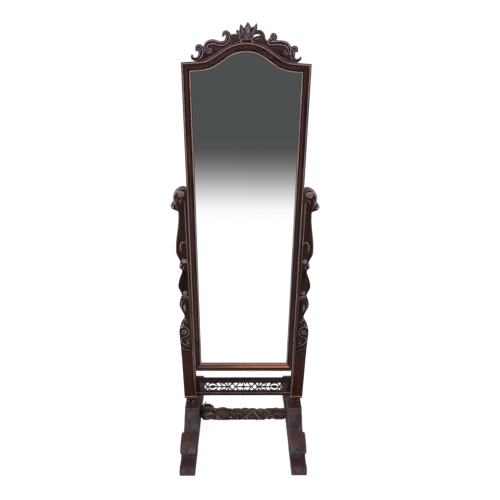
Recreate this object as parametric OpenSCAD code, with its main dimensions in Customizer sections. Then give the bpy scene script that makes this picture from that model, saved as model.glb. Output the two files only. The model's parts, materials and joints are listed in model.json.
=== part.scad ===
// Cheval floor mirror: a carved rosewood frame that tilts on brass pivots between two scroll posts.
// Origin: middle of the floor footprint. +Z is up, the glass faces -Y.

/* [Stand] */
// Width across the outer faces of the two feet
stand_w = 540; // [440:1:660]
// Width of a post at its plain lower board
post_w = 53.5; // [42:0.5:70]
// Thickness of a post, front to back
post_t = 50; // [36:1:70]
// Gap between the mirror frame's side and a post
side_gap = 4.5; // [3:0.5:9]
// Width of a post's head
head_w = 45.5; // [38:0.5:56]
// Depth below the pivot where the head is widest
head_drop = 17; // [12:1:24]
// Radius of the scroll on top of a post
scroll_r = 14.5; // [13.5:0.5:18]
// Distance of the scroll's centre from the post's inner face
scroll_in = 11; // [9:0.5:13]
// Height of the moulded lip round the foot of a post
post_lip_h = 22; // [12:1:30]
// How far the lip is undercut below its edge
post_lip_in = 4; // [2:0.5:6]

/* [Feet] */
// Length of a foot, front to back
foot_len = 562; // [460:1:700]
// Height of the block that the post stands on
foot_h = 141; // [110:1:170]
// Thickness of a foot
foot_t = 66; // [54:1:80]
// Length of the flat top of a foot
platform_len = 76; // [60:1:110]
// Height of the cloud scroll behind each toe
cloud_h = 121; // [95:1:135]
// Height of a toe
toe_h = 40; // [30:1:50]
// Relief under the middle of a foot
sole_relief = 8; // [5:1:14]
// Length of each sole pad, from the toe tip inwards
sole_len = 132; // [90:1:160]
// Height of the collar block between foot and post
collar_h = 45; // [30:1:60]
// How far the collar is set in from the post's faces
collar_in = 4; // [2:0.5:8]

/* [Fret board] */
// Height of the fret board's underside above the posts' undersides
fret_lift = 2; // [2:0.5:40]
// Height of the fret's top rail
fret_rail_h = 24; // [12:1:32]
// Height of the pierced band
fret_band_h = 52; // [38:1:64]
// Height of the fret's bottom rail
fret_base_h = 24; // [18:1:36]
// Depth of the fret rails, front to back
fret_rail_t = 14; // [13:0.5:24]
// Thickness of the pierced panel
fret_panel_t = 7; // [5:0.5:9]
// Set-back of the pierced panel from the rails' front faces
fret_set_in = 2; // [1.5:0.5:5]
// Depth of the grooves that hold the panel
groove_d = 4; // [3:0.5:6]
// Width of the fret's scroll stems
stem_w = 5; // [4:0.5:7]
// Width of the panel's plain end margins
fret_margin = 18; // [12:1:30]

/* [Stretcher] */
// Height of the stretcher's centre line
stretcher_z = 68; // [55:1:80]
// Radius of the stretcher at its ends
stretcher_end_r = 26; // [18:1:28]
// Radius of the stretcher at its fullest
stretcher_mid_r = 38; // [30:1:44]

/* [Joinery] */
// Side of the square tenon under a post
tenon_w = 26; // [20:1:30]
// How far the post tenon enters the foot
tenon_in_foot = 45; // [30:1:60]
// Length of the rail and stretcher tenons
rail_tenon = 16; // [10:1:22]
// Thickness of the rail tenons
rail_tenon_t = 9; // [7:1:12]
// Side of the stretcher's square tenons
bar_tenon_w = 20; // [14:1:26]
// Step from a rail's edge to its tenon
tenon_shoulder = 1; // [0.5:0.5:2]
// Radius of the tenon pegs
peg_r = 3; // [2:0.5:4]

/* [Mirror frame] */
// Height of the frame from its bottom edge to its shoulders
frame_h = 1213; // [1000:1:1460]
// Gap between the fret board and the frame's bottom edge
swing_gap = 97; // [70:1:150]
// Height of the pivot above the frame's bottom edge
pivot_up = 783; // [650:1:950]
// Thickness of the frame, front to back
frame_t = 30; // [26:1:40]
// Face width of the stiles and head rail
member_w = 31; // [28:1:44]
// Face width of the bottom rail
bottom_w = 38; // [30:1:60]
// Backward lean of the mirror as it stands
rest_lean = 4; // [0:0.5:12]

/* [Frame head] */
// Radius of the head rail's crown, as a share of the frame's half width
crown_share = 0.66; // [0.55:0.01:0.8]
// Radius of the hollow beside the crown, as a share of the frame's half width
hollow_share = 0.45; // [0.34:0.01:0.55]
// Steepest slope of the head rail
flank_angle = 33; // [28:1:36]
// Slope of the shoulders
shoulder_angle = 4; // [2:0.5:6]
// Length of each shoulder, as a share of the frame's half width
shoulder_share = 0.28; // [0.24:0.01:0.35]

/* [Glass and back] */
// Thickness of the glass
glass_t = 4; // [3:0.5:6]
// Depth of the lip in front of the glass
glass_lip = 10; // [8:0.5:12]
// How far the glass sits behind the lip's edge
glass_cover = 6; // [4:0.5:8]
// Thickness of the back boards
board_t = 8; // [5:0.5:10]
// Width of the ledge that the back boards are screwed to
ledge_w = 8; // [7:0.5:10]
// Play round the glass and the boards
play = 0.5; // [0.2:0.1:1]
// Height of the bottom back board
board_h = 400; // [320:1:500]
// Radius of a back screw's shank
screw_r = 1.5; // [1:0.1:2]

/* [Crest] */
// Height of the palmette above the crown of the head rail
crest_rise = 57; // [42:1:65]
// Half of the palmette's width
palmette_r = 36; // [30:1:42]
// Thickness of the crest wings
crest_t = 18; // [12:1:22]
// Thickness of the palmette
palmette_t = 24; // [18:1:28]
// Radius of the crest dowels
dowel_r = 3; // [2:0.5:4]
// Depth of the dowels in the head rail and in the crest
dowel_in = 14; // [10:1:15]

/* [Pivots] */
// Radius of the pivot pin
pin_r = 5; // [3.5:0.5:7]
// Length of the bush in the post
bush_len = 22; // [16:1:28]
// Wall of the bush
bush_wall = 3; // [2:0.5:4]
// Radial running clearance of the pin
pin_clear = 0.05; // [0.03:0.01:0.08]
// Length of the pivot plate
plate_len = 58; // [48:1:80]
// Width of the pivot plate
plate_w = 20; // [16:1:24]
// Thickness of the pivot plate
plate_t = 3; // [2:0.5:4]
// How far the pin enters the stile
pin_in_stile = 13; // [10:0.5:15]
// Radius of the friction washer
washer_r = 10; // [8:0.5:14]
// Radius of a plate screw's shank
plate_screw_r = 1.75; // [1.25:0.25:2.25]
// Distance of the plate screws from the plate's ends
plate_screw_end = 9; // [7:0.5:11]

/* [Hidden] */
$fn = 64;
xi = stand_w / 2 - post_w;              // inner face of a post
half_w = xi - side_gap;                 // half width of the mirror frame
foot_xi = stand_w / 2 - foot_t;         // inner face of a foot
post_z0 = foot_h + collar_h;            // underside of a post
fret_base_z = post_z0 + fret_lift;      // underside of the fret board
fret_top = fret_base_z + fret_base_h + fret_band_h + fret_rail_h;  // top edge of the fret board
frame_z0 = fret_top + swing_gap;        // bottom edge of the mirror frame
shoulder_z = frame_z0 + frame_h;        // shoulders of the mirror frame
pivot_z = frame_z0 + pivot_up;          // tilt axis
post_xc = stand_w / 2 - post_w / 2;     // middle of a post's lower board
fit = 0.05;                             // seat clearance of pressed and glued round parts
face_y = -frame_t / 2;                  // front face of the mirror frame
glass_y = face_y + glass_lip;           // front of the glass
board_y = glass_y + glass_t;            // front of the back boards
board_edge = member_w - glass_cover - ledge_w;  // board rebate, from the frame's outer edge
crown_r = crown_share * half_w;
hollow_r = hollow_share * half_w;
shoulder_len = shoulder_share * half_w;
eps = 0.01;                             // overshoot of a cut past a face
wood_dark = "#3a2320";
wood_red = "#4a2c26";
brass = "#b8924a";

// ---- curves ----

// Points of a cubic curve through a to d with handles b and c.
function bez(a, b, c, d, n = 8) =
    [for (i = [0 : n]) let (t = i / n, u = 1 - t)
        u * u * u * a + 3 * u * u * t * b + 3 * u * t * t * c + t * t * t * d];

// Points of an arc, angles in degrees.
function arc(c, r, a0, a1, n = 8) =
    [for (i = [0 : n]) let (a = a0 + (a1 - a0) * i / n) c + r * [cos(a), sin(a)]];

// Smooth wave through a list of [position, value] pairs, as [position, value] points.
function wave(keys, n = 5) =
    [for (k = [0 : len(keys) - 2], i = [0 : n - 1]) let (t = i / n)
        [keys[k][0] + (keys[k + 1][0] - keys[k][0]) * t,
         keys[k][1] + (keys[k + 1][1] - keys[k][1]) * (1 - cos(180 * t)) / 2]];

function flip_x(p) = [for (q = p) [-q[0], q[1]]];
function reversed(p) = [for (i = [len(p) - 1 : -1 : 0]) p[i]];
function shifted(p, d) = [for (q = p) q + d];
function tail(p) = [for (i = [1 : len(p) - 1]) p[i]];

// Right half of the head line, set in by o from the frame's outer edge, from the corner to the crown.
// Heights are measured from the shoulders.
function head_half(o) =
    let (
        s = [half_w - shoulder_len, shoulder_len * tan(shoulder_angle)],
        c2 = s + hollow_r * [sin(shoulder_angle), cos(shoulder_angle)],
        e = c2 - hollow_r * [sin(flank_angle), cos(flank_angle)],
        top = e[1] + (e[0] - crown_r * sin(flank_angle)) * tan(flank_angle),
        c1 = [0, top - crown_r * cos(flank_angle)]
    )
    concat(
        [[half_w - o, -o * (1 - sin(shoulder_angle)) / cos(shoulder_angle)]],
        [for (i = [0 : 8]) let (a = shoulder_angle + (flank_angle - shoulder_angle) * i / 8)
            c2 - (hollow_r + o) * [sin(a), cos(a)]],
        [for (i = [0 : 12]) let (a = flank_angle * (1 - i / 12))
            c1 + (crown_r - o) * [sin(a), cos(a)]]
    );

// Whole head line from the left corner to the right corner.
function head_line(o) =
    let (h = shifted(head_half(o), [0, shoulder_z]))
    concat(flip_x(h), reversed([for (i = [0 : len(h) - 2]) h[i]]));

// Height above the floor of the head line set in by o, at x.
function head_z(x, o = 0) =
    let (h = head_half(o), a = abs(x),
         k = [for (i = [0 : len(h) - 2]) if (h[i][0] >= a && h[i + 1][0] <= a) i][0],
         t = (h[k][0] - a) / max(0.001, h[k][0] - h[k + 1][0]))
    shoulder_z + h[k][1] + (h[k + 1][1] - h[k][1]) * t;

// Head line between two places on the right half, from x1 in to x0, at the line's own corners.
function head_span(x0, x1) = concat(
    [[x1, head_z(x1)]],
    [for (q = head_half(0)) if (q[0] > x0 + 0.5 && q[0] < x1 - 0.5) [q[0], shoulder_z + q[1]]],
    [[x0, head_z(x0)]]
);

// Bottom edge, set in by o.
function foot_line_z(o) = frame_z0 + o * bottom_w / member_w;

// ---- shared shapes ----

// Carries the tilting assembly from upright to its resting lean.
module leaned()
    translate([0, 0, pivot_z]) rotate([-rest_lean, 0, 0]) translate([0, 0, -pivot_z]) children();

// Extrudes an outline drawn in X and Z from y0 to y1.
module board(y0, y1)
    translate([0, y1, 0]) rotate([90, 0, 0]) linear_extrude(y1 - y0) children();

// Extrudes an outline drawn in Y and Z from x0 to x1.
module slab(x0, x1)
    translate([x0, 0, 0]) rotate([90, 0, 90]) linear_extrude(x1 - x0) children();

cove_y = face_y + 7;                    // floor of the cove between the two beads
edge_bead_w = 6;                        // outer bead
edge_bead_y = face_y + 2;
bead_out = 12;                          // round bead, from the sight edge
bead_in = 4;

// Layers of the moulded frame section: [outer offset, inner offset, front y, back y].
LAYERS = [
    [0, board_edge, cove_y, -face_y],
    [0, member_w - glass_cover, cove_y, board_y],
    [0, member_w, cove_y, glass_y],
    [0, edge_bead_w, edge_bead_y, cove_y + 1],
    [member_w - bead_out, member_w - bead_in, face_y, cove_y + 1]
];

// Right stile, between its two mitres.
module stile_shape()
    for (l = LAYERS) board(l[2], l[3])
        polygon([
            [half_w - l[0], foot_line_z(l[0])],
            [half_w - l[0], shoulder_z + head_half(l[0])[0][1]],
            [half_w - l[1], shoulder_z + head_half(l[1])[0][1]],
            [half_w - l[1], foot_line_z(l[1])]
        ]);

// Cylinder along X from x0 to x1, at height z.
module rod_x(x0, x1, r, z, y = 0)
    translate([x0, y, z]) rotate([0, 90, 0]) cylinder(r = r, h = x1 - x0);

// Places of the pivot plate's two screws.
PLATE_SCREWS = [for (s = [-1, 1]) pivot_z + s * (plate_len / 2 - plate_screw_end)];
plate_screw_in = 13;                    // reach of a plate screw into the stile
screw_head_h = 2;                       // height of every countersunk screw head
plate_head_r = 2 * plate_screw_r;       // head of a plate screw

module stile() difference() {
    stile_shape();
    translate([half_w - plate_t, -plate_w / 2, pivot_z - plate_len / 2])
        cube([plate_t + 1, plate_w, plate_len]);
    rod_x(half_w - pin_in_stile, half_w, pin_r + fit, pivot_z);
    for (z = PLATE_SCREWS) rod_x(half_w - plate_screw_in, half_w, plate_screw_r + fit, z);
    for (p = SIDE_SCREWS) board_screw_hole(p);
}

// ---- back screws ----

screw_o = board_edge + ledge_w / 2;     // screw line, from the frame's outer edge
screw_in = 5;                           // reach of a back screw into the ledge
screw_end = 60;                         // distance of the side screws from a board's ends
seam = 1;                               // open seam between two back boards
seam_1 = frame_z0 + board_h;            // top of the lower board
seam_2 = shoulder_z - 0.9 * board_h;    // top of the middle board
// Back boards from the bottom up, as [bottom, top] at the stiles.
BOARDS = [[frame_z0, seam_1], [seam_1 + seam, seam_2], [seam_2 + seam, shoulder_z]];
SIDE_SCREWS = [for (b = BOARDS, z = [b[0] + screw_end, b[1] - screw_end]) [half_w - screw_o, z]];
HEAD_SCREWS = [for (x = [-0.6, 0, 0.6] * half_w) [x, head_z(x, screw_o)]];
BASE_SCREWS = [for (x = [-0.42, 0.42] * half_w) [x, foot_line_z(screw_o)]];
ALL_SCREWS = concat(SIDE_SCREWS, flip_x(SIDE_SCREWS), HEAD_SCREWS, BASE_SCREWS);

// Cylinder along Y from y0 to y1 at a point given in X and Z.
module rod_y(p, y0, y1, r, r2 = -1)
    translate([p[0], y1, p[1]]) rotate([90, 0, 0])
        cylinder(r1 = (r2 < 0 ? r : r2), r2 = r, h = y1 - y0);

board_back = board_y + board_t;         // rear face of the back boards

module board_screw_hole(p) rod_y(p, board_y - screw_in, board_back, screw_r + fit);

module board_screw(p) {
    rod_y(p, board_y - screw_in, board_back - screw_head_h, screw_r);
    rod_y(p, board_back - screw_head_h, board_back, screw_r, 2 * screw_r);
}

module board_screw_seat(p) {
    board_screw_hole(p);
    rod_y(p, board_back - screw_head_h, board_back + eps, screw_r + fit, 2 * screw_r + fit);
}

// Back board between two heights.
module back_board(z0, z1) difference() {
    board(board_y, board_back) intersection() {
        polygon(concat(head_line(board_edge + play), [
            [half_w - board_edge - play, foot_line_z(board_edge + play)],
            [-half_w + board_edge + play, foot_line_z(board_edge + play)]
        ]));
        translate([-half_w, z0]) square([2 * half_w, z1 - z0]);
    }
    for (p = ALL_SCREWS) if (p[1] > z0 && p[1] < z1) board_screw_seat(p);
}

// ---- crest ----

palmette_half = palmette_r / 2;         // half width of the palmette's stem
wing_x0 = palmette_half;                // inner end of a wing
wing_len = half_w - 34 - wing_x0;       // run of a wing
// Upper edge of a wing: share of its run, height above the head rail.
WING_TOP = [
    [0, 23.5], [0.175, 22], [0.325, 43], [0.44, 32.5], [0.69, 52], [0.77, 43.5],
    [0.85, 48], [0.95, 33], [1, 17.5]
];
// Dowels that hold the crest to the head rail.
WING_DOWELS = [for (s = [0.2, 0.64]) wing_x0 + s * wing_len];
dowel_end = 0.5;                        // free space past each end of a dowel

module wing() board(-crest_t / 2, crest_t / 2)
    polygon(concat(
        [for (k = wave(WING_TOP, 4)) let (x = wing_x0 + k[0] * wing_len) [x, head_z(x) + k[1]]],
        [[wing_x0 + wing_len, head_z(wing_x0 + wing_len) + 17.5]],
        head_span(wing_x0, wing_x0 + wing_len - 2)
    ));

// Blind holes for dowels, up and down from the head line at each x.
module dowel_holes(xs) for (x = xs)
    translate([x, 0, head_z(x) - dowel_in]) cylinder(r = dowel_r + fit, h = 2 * dowel_in);

module dowel(x) translate([x, 0, head_z(x) - dowel_in + dowel_end])
    cylinder(r = dowel_r, h = 2 * (dowel_in - dowel_end));

// ---- posts ----

post_run = pivot_z - post_z0 - post_lip_h;  // from the pivot down to the lip
scroll_end = 78;                        // angle where the scroll runs into the head's outer curve
// Outer edge of a post: share of the run below the pivot, width less than or over the plain board.
POST_WAVE = [
    [0.0375, -10], [0.054, -3.5], [0.079, -24.5], [0.245, -6], [0.299, -21], [0.312, -14.5],
    [0.33, -24.5], [0.404, -6],
    [0.45, -18], [0.494, -5.5], [0.5595, -23.5], [0.6375, 3], [0.792, 0]
];

function post_outline() =
    let (rise = sqrt(scroll_r * scroll_r - scroll_in * scroll_in),
         start = atan2(rise, -scroll_in),
         c = [xi + scroll_in, pivot_z],
         e = c + scroll_r * [cos(scroll_end), sin(scroll_end)],
         w = [xi + head_w, pivot_z - head_drop])
    concat(
        [[xi, post_z0]],
        arc(c, scroll_r, start, scroll_end, 8),
        tail(bez(e, e + scroll_r * [sin(scroll_end), -cos(scroll_end)], w + [0, head_drop], w, 10)),
        [for (k = wave(POST_WAVE, 6)) [xi + post_w + k[1], pivot_z - k[0] * post_run]],
        [[xi + post_w, pivot_z - 0.8 * post_run], [xi + post_w, post_z0 + post_lip_h],
         [xi + post_w - post_lip_in, post_z0]]
    );

// Seat of a fret rail's tenon in a post.
module rail_mortise(z0, h)
    translate([xi - 1, -rail_tenon_t / 2, z0 + tenon_shoulder])
        cube([rail_tenon + 1, rail_tenon_t, h - 2 * tenon_shoulder]);

module post() difference() {
    union() {
        board(-post_t / 2, post_t / 2) polygon(post_outline());
        translate([post_xc - tenon_w / 2, -tenon_w / 2, foot_h - tenon_in_foot])
            cube([tenon_w, tenon_w, collar_h + tenon_in_foot + 1]);
    }
    rod_x(xi - 1, xi + bush_len, pin_r + bush_wall + fit, pivot_z);
    rail_mortise(fret_top - fret_rail_h, fret_rail_h);
    rail_mortise(fret_base_z, fret_base_h);
    for (z = PEG_Z) rod_y([xi + rail_tenon / 2, z], -rail_tenon_t / 2, post_t / 2, peg_r + fit);
}

// ---- feet ----

FOOT_STEPS = 243;                       // steps that the carving is drawn in, from platform to toe tip

// Front half of a foot's side outline, from the platform to the sole, as [distance, height].
// u is one step along the foot, back from the toe tip; c and t are the cloud's and the toe's heights.
function foot_half(c = cloud_h, t = toe_h) =
    let (h = foot_len / 2, p = platform_len / 2, u = (h - p) / FOOT_STEPS)
    concat(
        [[p, foot_h], [p + 2, foot_h - 3], [p + 2, foot_h - 9]],
        bez([p - 1, foot_h - 11], [p + 21 * u, foot_h - 13], [h - 197 * u, 0.6 * c], [h - 157 * u, 0.58 * c]),
        bez([h - 150 * u, 0.57 * c], [h - 147 * u, 0.917 * c], [h - 129 * u, 1.008 * c], [h - 109 * u, c]),
        bez([h - 103 * u, 0.992 * c], [h - 73 * u, 0.959 * c], [h - 45 * u, 0.81 * c], [h - 52 * u, 0.636 * c]),
        bez([h - 53 * u, 0.62 * c], [h - 59 * u, 0.53 * c], [h - 75 * u, 0.53 * c], [h - 76 * u, 0.44 * c], 5),
        bez([h - 75 * u, 1.275 * t], [h - 69 * u, 0.9 * t], [h - 49 * u, 0.8 * t], [h - 34 * u, 0.9 * t], 6),
        bez([h - 32 * u, 0.925 * t], [h - 15 * u, 1.15 * t], [h + 2, 0.85 * t], [h, 0.35 * t], 7),
        [[h - 1, 0.2 * t], [h - 5, 2], [h - 9, 0], [h - sole_len, 0], [h - sole_len - 10, sole_relief]]
    );

module foot() difference() {
    slab(foot_xi, foot_xi + foot_t) polygon(concat(foot_half(), reversed(flip_x(foot_half()))));
    translate([post_xc - tenon_w / 2, -tenon_w / 2, foot_h - tenon_in_foot])
        cube([tenon_w, tenon_w, tenon_in_foot + 1]);
    translate([foot_xi - 1, -bar_tenon_w / 2, stretcher_z - bar_tenon_w / 2])
        cube([rail_tenon + 1, bar_tenon_w, bar_tenon_w]);
}

// Collar outline in X and Z: a waisted block with a rounded lower roll.
module collar() difference() {
    intersection() {
        board(-post_t / 2 + collar_in, post_t / 2 - collar_in)
            polygon(collar_outline(xi + 2, xi + post_w - collar_in - 2));
        slab(xi, xi + post_w)
            polygon(collar_outline(-post_t / 2 + collar_in, post_t / 2 - collar_in));
    }
    translate([post_xc - tenon_w / 2, -tenon_w / 2, foot_h - 1])
        cube([tenon_w, tenon_w, collar_h + 2]);
}

function collar_outline(a, b) =
    let (right = concat(
        [[b, foot_h], [b, foot_h + 10]],
        bez([b - 1, foot_h + 13], [b - 6, foot_h + 20], [b - 6, foot_h + 24], [b, foot_h + collar_h - 8], 5),
        [[b, foot_h + collar_h]]))
    concat(right, reversed([for (q = right) [a + b - q[0], q[1]]]));

// ---- fret board ----

half_band = fret_band_h / 2;
fret_y0 = -fret_rail_t / 2 + fret_set_in;  // front of the pierced panel
fret_y1 = fret_y0 + fret_panel_t;       // back of the pierced panel
band_zc = fret_top - fret_rail_h - half_band;  // middle of the pierced band
PEG_Z = [fret_base_z + fret_base_h / 2, fret_top - fret_rail_h / 2];
panel_end = 0.5;                        // end play of the panel between the posts
root = 1;                               // how far a stem runs into what it joins
ux = (xi - fret_margin) / 200;          // half of the fret's pattern is 200 steps long
uz = half_band / 21;                    // and 21 steps high
ring_x = 142 * ux;                      // ringed leaf, from the middle
ring_r = half_band - 4;

// Open band of width w along a path.
module ribbon(path, w) {
    n = len(path) - 1;
    side = [for (i = [0 : n]) let (d = path[min(n, i + 1)] - path[max(0, i - 1)], l = norm(d))
        [-d[1], d[0]] / l * w / 2];
    polygon(concat([for (i = [0 : n]) path[i] + side[i]],
                   reversed([for (i = [0 : n]) path[i] - side[i]])));
}

// One stem of the fret, as thick as the panel.
module stem(path) board(fret_y0, fret_y1) ribbon(path, stem_w);

// Plain bar of the fret between two corners given in X and Z.
module bar(x0, z0, x1, z1)
    translate([x0, fret_y0, z0]) cube([x1 - x0, fret_panel_t, z1 - z0]);

// Stems of one quarter of the fret, drawn about the middle of the band.
module fret_quarter() {
    h = half_band + root;
    stem(bez([22 * ux, h], [22 * ux, 12 * uz], [36 * ux, 8 * uz], [29 * ux, 0], 6));
    stem(bez([28 * ux, 0], [42 * ux, 2 * uz], [46 * ux, 12 * uz], [62 * ux, h], 6));
    stem(bez([42 * ux, h], [56 * ux, 14 * uz], [64 * ux, 2 * uz], [84 * ux, 0], 6));
    stem(bez([60 * ux, 0], [76 * ux, 3 * uz], [84 * ux, 10 * uz], [90 * ux, h], 6));
    stem(bez([84 * ux, 0], [100 * ux, 2 * uz], [104 * ux, 10 * uz], [112 * ux, h], 6));
    stem(bez([ring_x + ring_r - root, 0], [173 * ux, uz], [179 * ux, 10 * uz], [175 * ux, h], 6));
    bar(ring_x - stem_w / 2, ring_r - 2 * root, ring_x + stem_w / 2, h);
}

// Leaf across a ring, as shares of its half length.
LEAF = [[-1, 0], [-0.27, 0.27], [0.33, 0.3], [1, 0], [0.33, -0.3], [-0.27, -0.27]];

// Half of the fret: a stem along the middle, a ringed leaf and the end margin.
module fret_half() {
    fret_quarter();
    mirror([0, 0, 1]) fret_quarter();
    bar(10 * ux, -stem_w / 2, 30 * ux, stem_w / 2);
    bar(80 * ux, -stem_w / 2, ring_x - ring_r + 2 * root, stem_w / 2);
    bar(xi - fret_margin, -half_band - 0.5, xi - panel_end, half_band + 0.5);
    board(fret_y0, fret_y1) translate([ring_x, 0]) difference() {
        circle(r = ring_r);
        circle(r = ring_r - stem_w);
    }
    board(fret_y0, fret_y1) translate([ring_x, 0])
        polygon([for (q = LEAF) q * (ring_r - 2 * root)]);
}

// Rail with a shouldered tenon at each end, bored for its pegs.
module fret_rail(z0, h) difference() {
    union() {
        translate([-xi, -fret_rail_t / 2, z0]) cube([2 * xi, fret_rail_t, h]);
        for (sx = [-1, 1]) translate([sx * (xi + rail_tenon / 2 - 1), 0, z0 + h / 2])
            cube([rail_tenon + 2, rail_tenon_t, h - 2 * tenon_shoulder], center = true);
    }
    for (sx = [-1, 1])
        rod_y([sx * (xi + rail_tenon / 2), z0 + h / 2], -rail_tenon_t, rail_tenon_t, peg_r + fit);
}

// Groove for the panel's tongue, stopped just short of the posts.
module panel_groove(z0, h)
    translate([-xi + panel_end, fret_y0, z0]) cube([2 * (xi - panel_end), fret_panel_t, h]);

// ---- sub-parts ----

module right_to_left() mirror([1, 0, 0]) children();

module frame_stile_right() color(wood_dark) leaned() stile();
module frame_stile_left() color(wood_dark) leaned() right_to_left() stile();

module frame_head_rail() color(wood_dark) leaned() difference() {
    for (l = LAYERS) board(l[2], l[3])
        polygon(concat(head_line(l[0]), reversed(head_line(l[1]))));
    dowel_holes(concat([0], WING_DOWELS, -1 * WING_DOWELS));
    for (p = HEAD_SCREWS) board_screw_hole(p);
}

module frame_bottom_rail() color(wood_dark) leaned() difference() {
    for (l = LAYERS) board(l[2], l[3])
        polygon([
            [-half_w + l[0], foot_line_z(l[0])], [half_w - l[0], foot_line_z(l[0])],
            [half_w - l[1], foot_line_z(l[1])], [-half_w + l[1], foot_line_z(l[1])]
        ]);
    for (p = BASE_SCREWS) board_screw_hole(p);
}

module bored_wing() difference() {
    wing();
    dowel_holes(WING_DOWELS);
}
module crest_wing_right() color(wood_red) leaned() bored_wing();
module crest_wing_left() color(wood_red) leaned() right_to_left() bored_wing();

fan_x = palmette_half - 0.5;            // half width of the stem between the wings
fan_up = 22;                            // height of the fan's centre above the crown
fan_z = head_z(0) + fan_up;

// Fan of petals on a short stem, standing on the crown between the wings.
module crest_palmette() color(wood_red) leaned() difference() {
    board(-palmette_t / 2, palmette_t / 2)
        polygon(concat(
            [[-fan_x, fan_z + 1]],
            [for (i = [0 : 40]) let (a = 174 - 168 * i / 40, cusp = abs(cos(3.5 * (a - 90))))
                [0, fan_z] + [palmette_r * cos(a), (crest_rise - fan_up) * sin(a)] * (0.84 + 0.16 * cusp)],
            [[fan_x, fan_z + 1]],
            head_span(0, fan_x),
            reversed(flip_x([for (q = head_span(0, fan_x)) if (q[0] > 0) q]))
        ));
    dowel_holes([0]);
}

module crest_dowels() color("#c8a878") leaned()
    for (x = concat([0], WING_DOWELS, -1 * WING_DOWELS)) dowel(x);

module mirror_glass() color("#9fb0ac") leaned() board(glass_y, board_y)
    polygon(concat(head_line(member_w - glass_cover + play), [
        [half_w - member_w + glass_cover - play, foot_line_z(member_w - glass_cover + play)],
        [-half_w + member_w - glass_cover + play, foot_line_z(member_w - glass_cover + play)]
    ]));

module back_board_lower() color("#7a5a40") leaned() back_board(BOARDS[0][0], BOARDS[0][1]);
module back_board_middle() color("#74543c") leaned() back_board(BOARDS[1][0], BOARDS[1][1]);
module back_board_upper() color("#7a5a40") leaned() back_board(BOARDS[2][0], head_z(0));

module back_screws() color(brass) leaned() for (p = ALL_SCREWS) board_screw(p);

module pivot_plate() difference() {
    translate([half_w - plate_t, -plate_w / 2, pivot_z - plate_len / 2]) cube([plate_t, plate_w, plate_len]);
    rod_x(half_w - plate_t - 1, half_w + 1, pin_r + fit, pivot_z);
    for (z = PLATE_SCREWS) {
        rod_x(half_w - plate_t - 1, half_w + 1, plate_screw_r + fit, z);
        translate([half_w - screw_head_h, 0, z]) rotate([0, 90, 0])
            cylinder(r1 = plate_screw_r + fit, r2 = plate_head_r + fit, h = screw_head_h + eps);
    }
}
module pivot_plate_right() color(brass) leaned() pivot_plate();
module pivot_plate_left() color(brass) leaned() right_to_left() pivot_plate();

module pivot_pin() rod_x(half_w - pin_in_stile, xi + bush_len - 1, pin_r, pivot_z);
module pivot_pin_right() color(brass) leaned() pivot_pin();
module pivot_pin_left() color(brass) leaned() right_to_left() pivot_pin();

module plate_screw_pair() for (z = PLATE_SCREWS) {
    rod_x(half_w - plate_screw_in + 0.5, half_w - screw_head_h, plate_screw_r, z);
    translate([half_w - screw_head_h, 0, z]) rotate([0, 90, 0])
        cylinder(r1 = plate_screw_r, r2 = plate_head_r, h = screw_head_h);
}
module plate_screws() color(brass) leaned() {
    plate_screw_pair();
    right_to_left() plate_screw_pair();
}

module pivot_bush() difference() {
    rod_x(xi, xi + bush_len, pin_r + bush_wall, pivot_z);
    rod_x(xi - 1, xi + bush_len + 1, pin_r + pin_clear, pivot_z);
}
module pivot_bush_right() color(brass) pivot_bush();
module pivot_bush_left() color(brass) right_to_left() pivot_bush();

module friction_washer() difference() {
    rod_x(half_w + 0.3, xi, washer_r, pivot_z);
    rod_x(half_w, xi + 1, pin_r + 0.4, pivot_z);
}
module friction_washer_right() color("#8a6a48") friction_washer();
module friction_washer_left() color("#8a6a48") right_to_left() friction_washer();

module post_right() color(wood_dark) post();
module post_left() color(wood_dark) right_to_left() post();

module fret_top_rail() color(wood_dark) difference() {
    fret_rail(fret_top - fret_rail_h, fret_rail_h);
    panel_groove(fret_top - fret_rail_h - 1, groove_d + 1);
}

border_h = 6;                           // bead along the bottom rail's face
border_out = 2.5;
border_up = 0.8;                        // its height as a share of the rail's

module fret_bottom_rail() color(wood_dark) difference() {
    union() {
        fret_rail(fret_base_z, fret_base_h);
        translate([-xi, -fret_rail_t / 2 - border_out, fret_base_z + border_up * fret_base_h - border_h / 2])
            cube([2 * xi, border_out + 0.5, border_h]);
    }
    panel_groove(fret_base_z + fret_base_h - groove_d, groove_d + 1);
}

// Pierced panel, both ways symmetrical, with a tongue along each long edge.
module fret_panel() color(wood_red) translate([0, 0, band_zc]) union() {
    fret_half();
    mirror([1, 0, 0]) fret_half();
    board(fret_y0, fret_y1) polygon([[-13, 0], [0, 10], [13, 0], [0, -10]]);
    bar(-stem_w / 2, -half_band - 1, stem_w / 2, half_band + 1);
    bar(-xi + panel_end, half_band - 1, xi - panel_end, half_band + groove_d - 0.5);
    bar(-xi + panel_end, -half_band - groove_d + 0.5, xi - panel_end, -half_band + 1);
}

module joint_pegs() color("#c8a878") for (sx = [-1, 1], z = PEG_Z)
    rod_y([sx * (xi + rail_tenon / 2), z], -rail_tenon_t / 2 + 0.2, post_t / 2, peg_r);

// Gnarled bar that swells and narrows between its square tenons.
module stretcher() color(wood_dark) union() {
    translate([0, 0, stretcher_z]) rotate([0, 90, 0]) rotate_extrude()
        polygon(concat(
            [[0, -foot_xi], [stretcher_end_r, -foot_xi]],
            [for (i = [1 : 23]) let (t = i / 24, x = -foot_xi + 2 * foot_xi * t)
                [stretcher_end_r + (stretcher_mid_r - stretcher_end_r)
                 * min(1, 3.2 * sin(180 * t) * sin(180 * t)) * (0.86 + 0.14 * cos(360 * 5 * t)), x]],
            [[stretcher_end_r, foot_xi], [0, foot_xi]]
        ));
    translate([-foot_xi - rail_tenon, -bar_tenon_w / 2, stretcher_z - bar_tenon_w / 2])
        cube([2 * (foot_xi + rail_tenon), bar_tenon_w, bar_tenon_w]);
}

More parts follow.
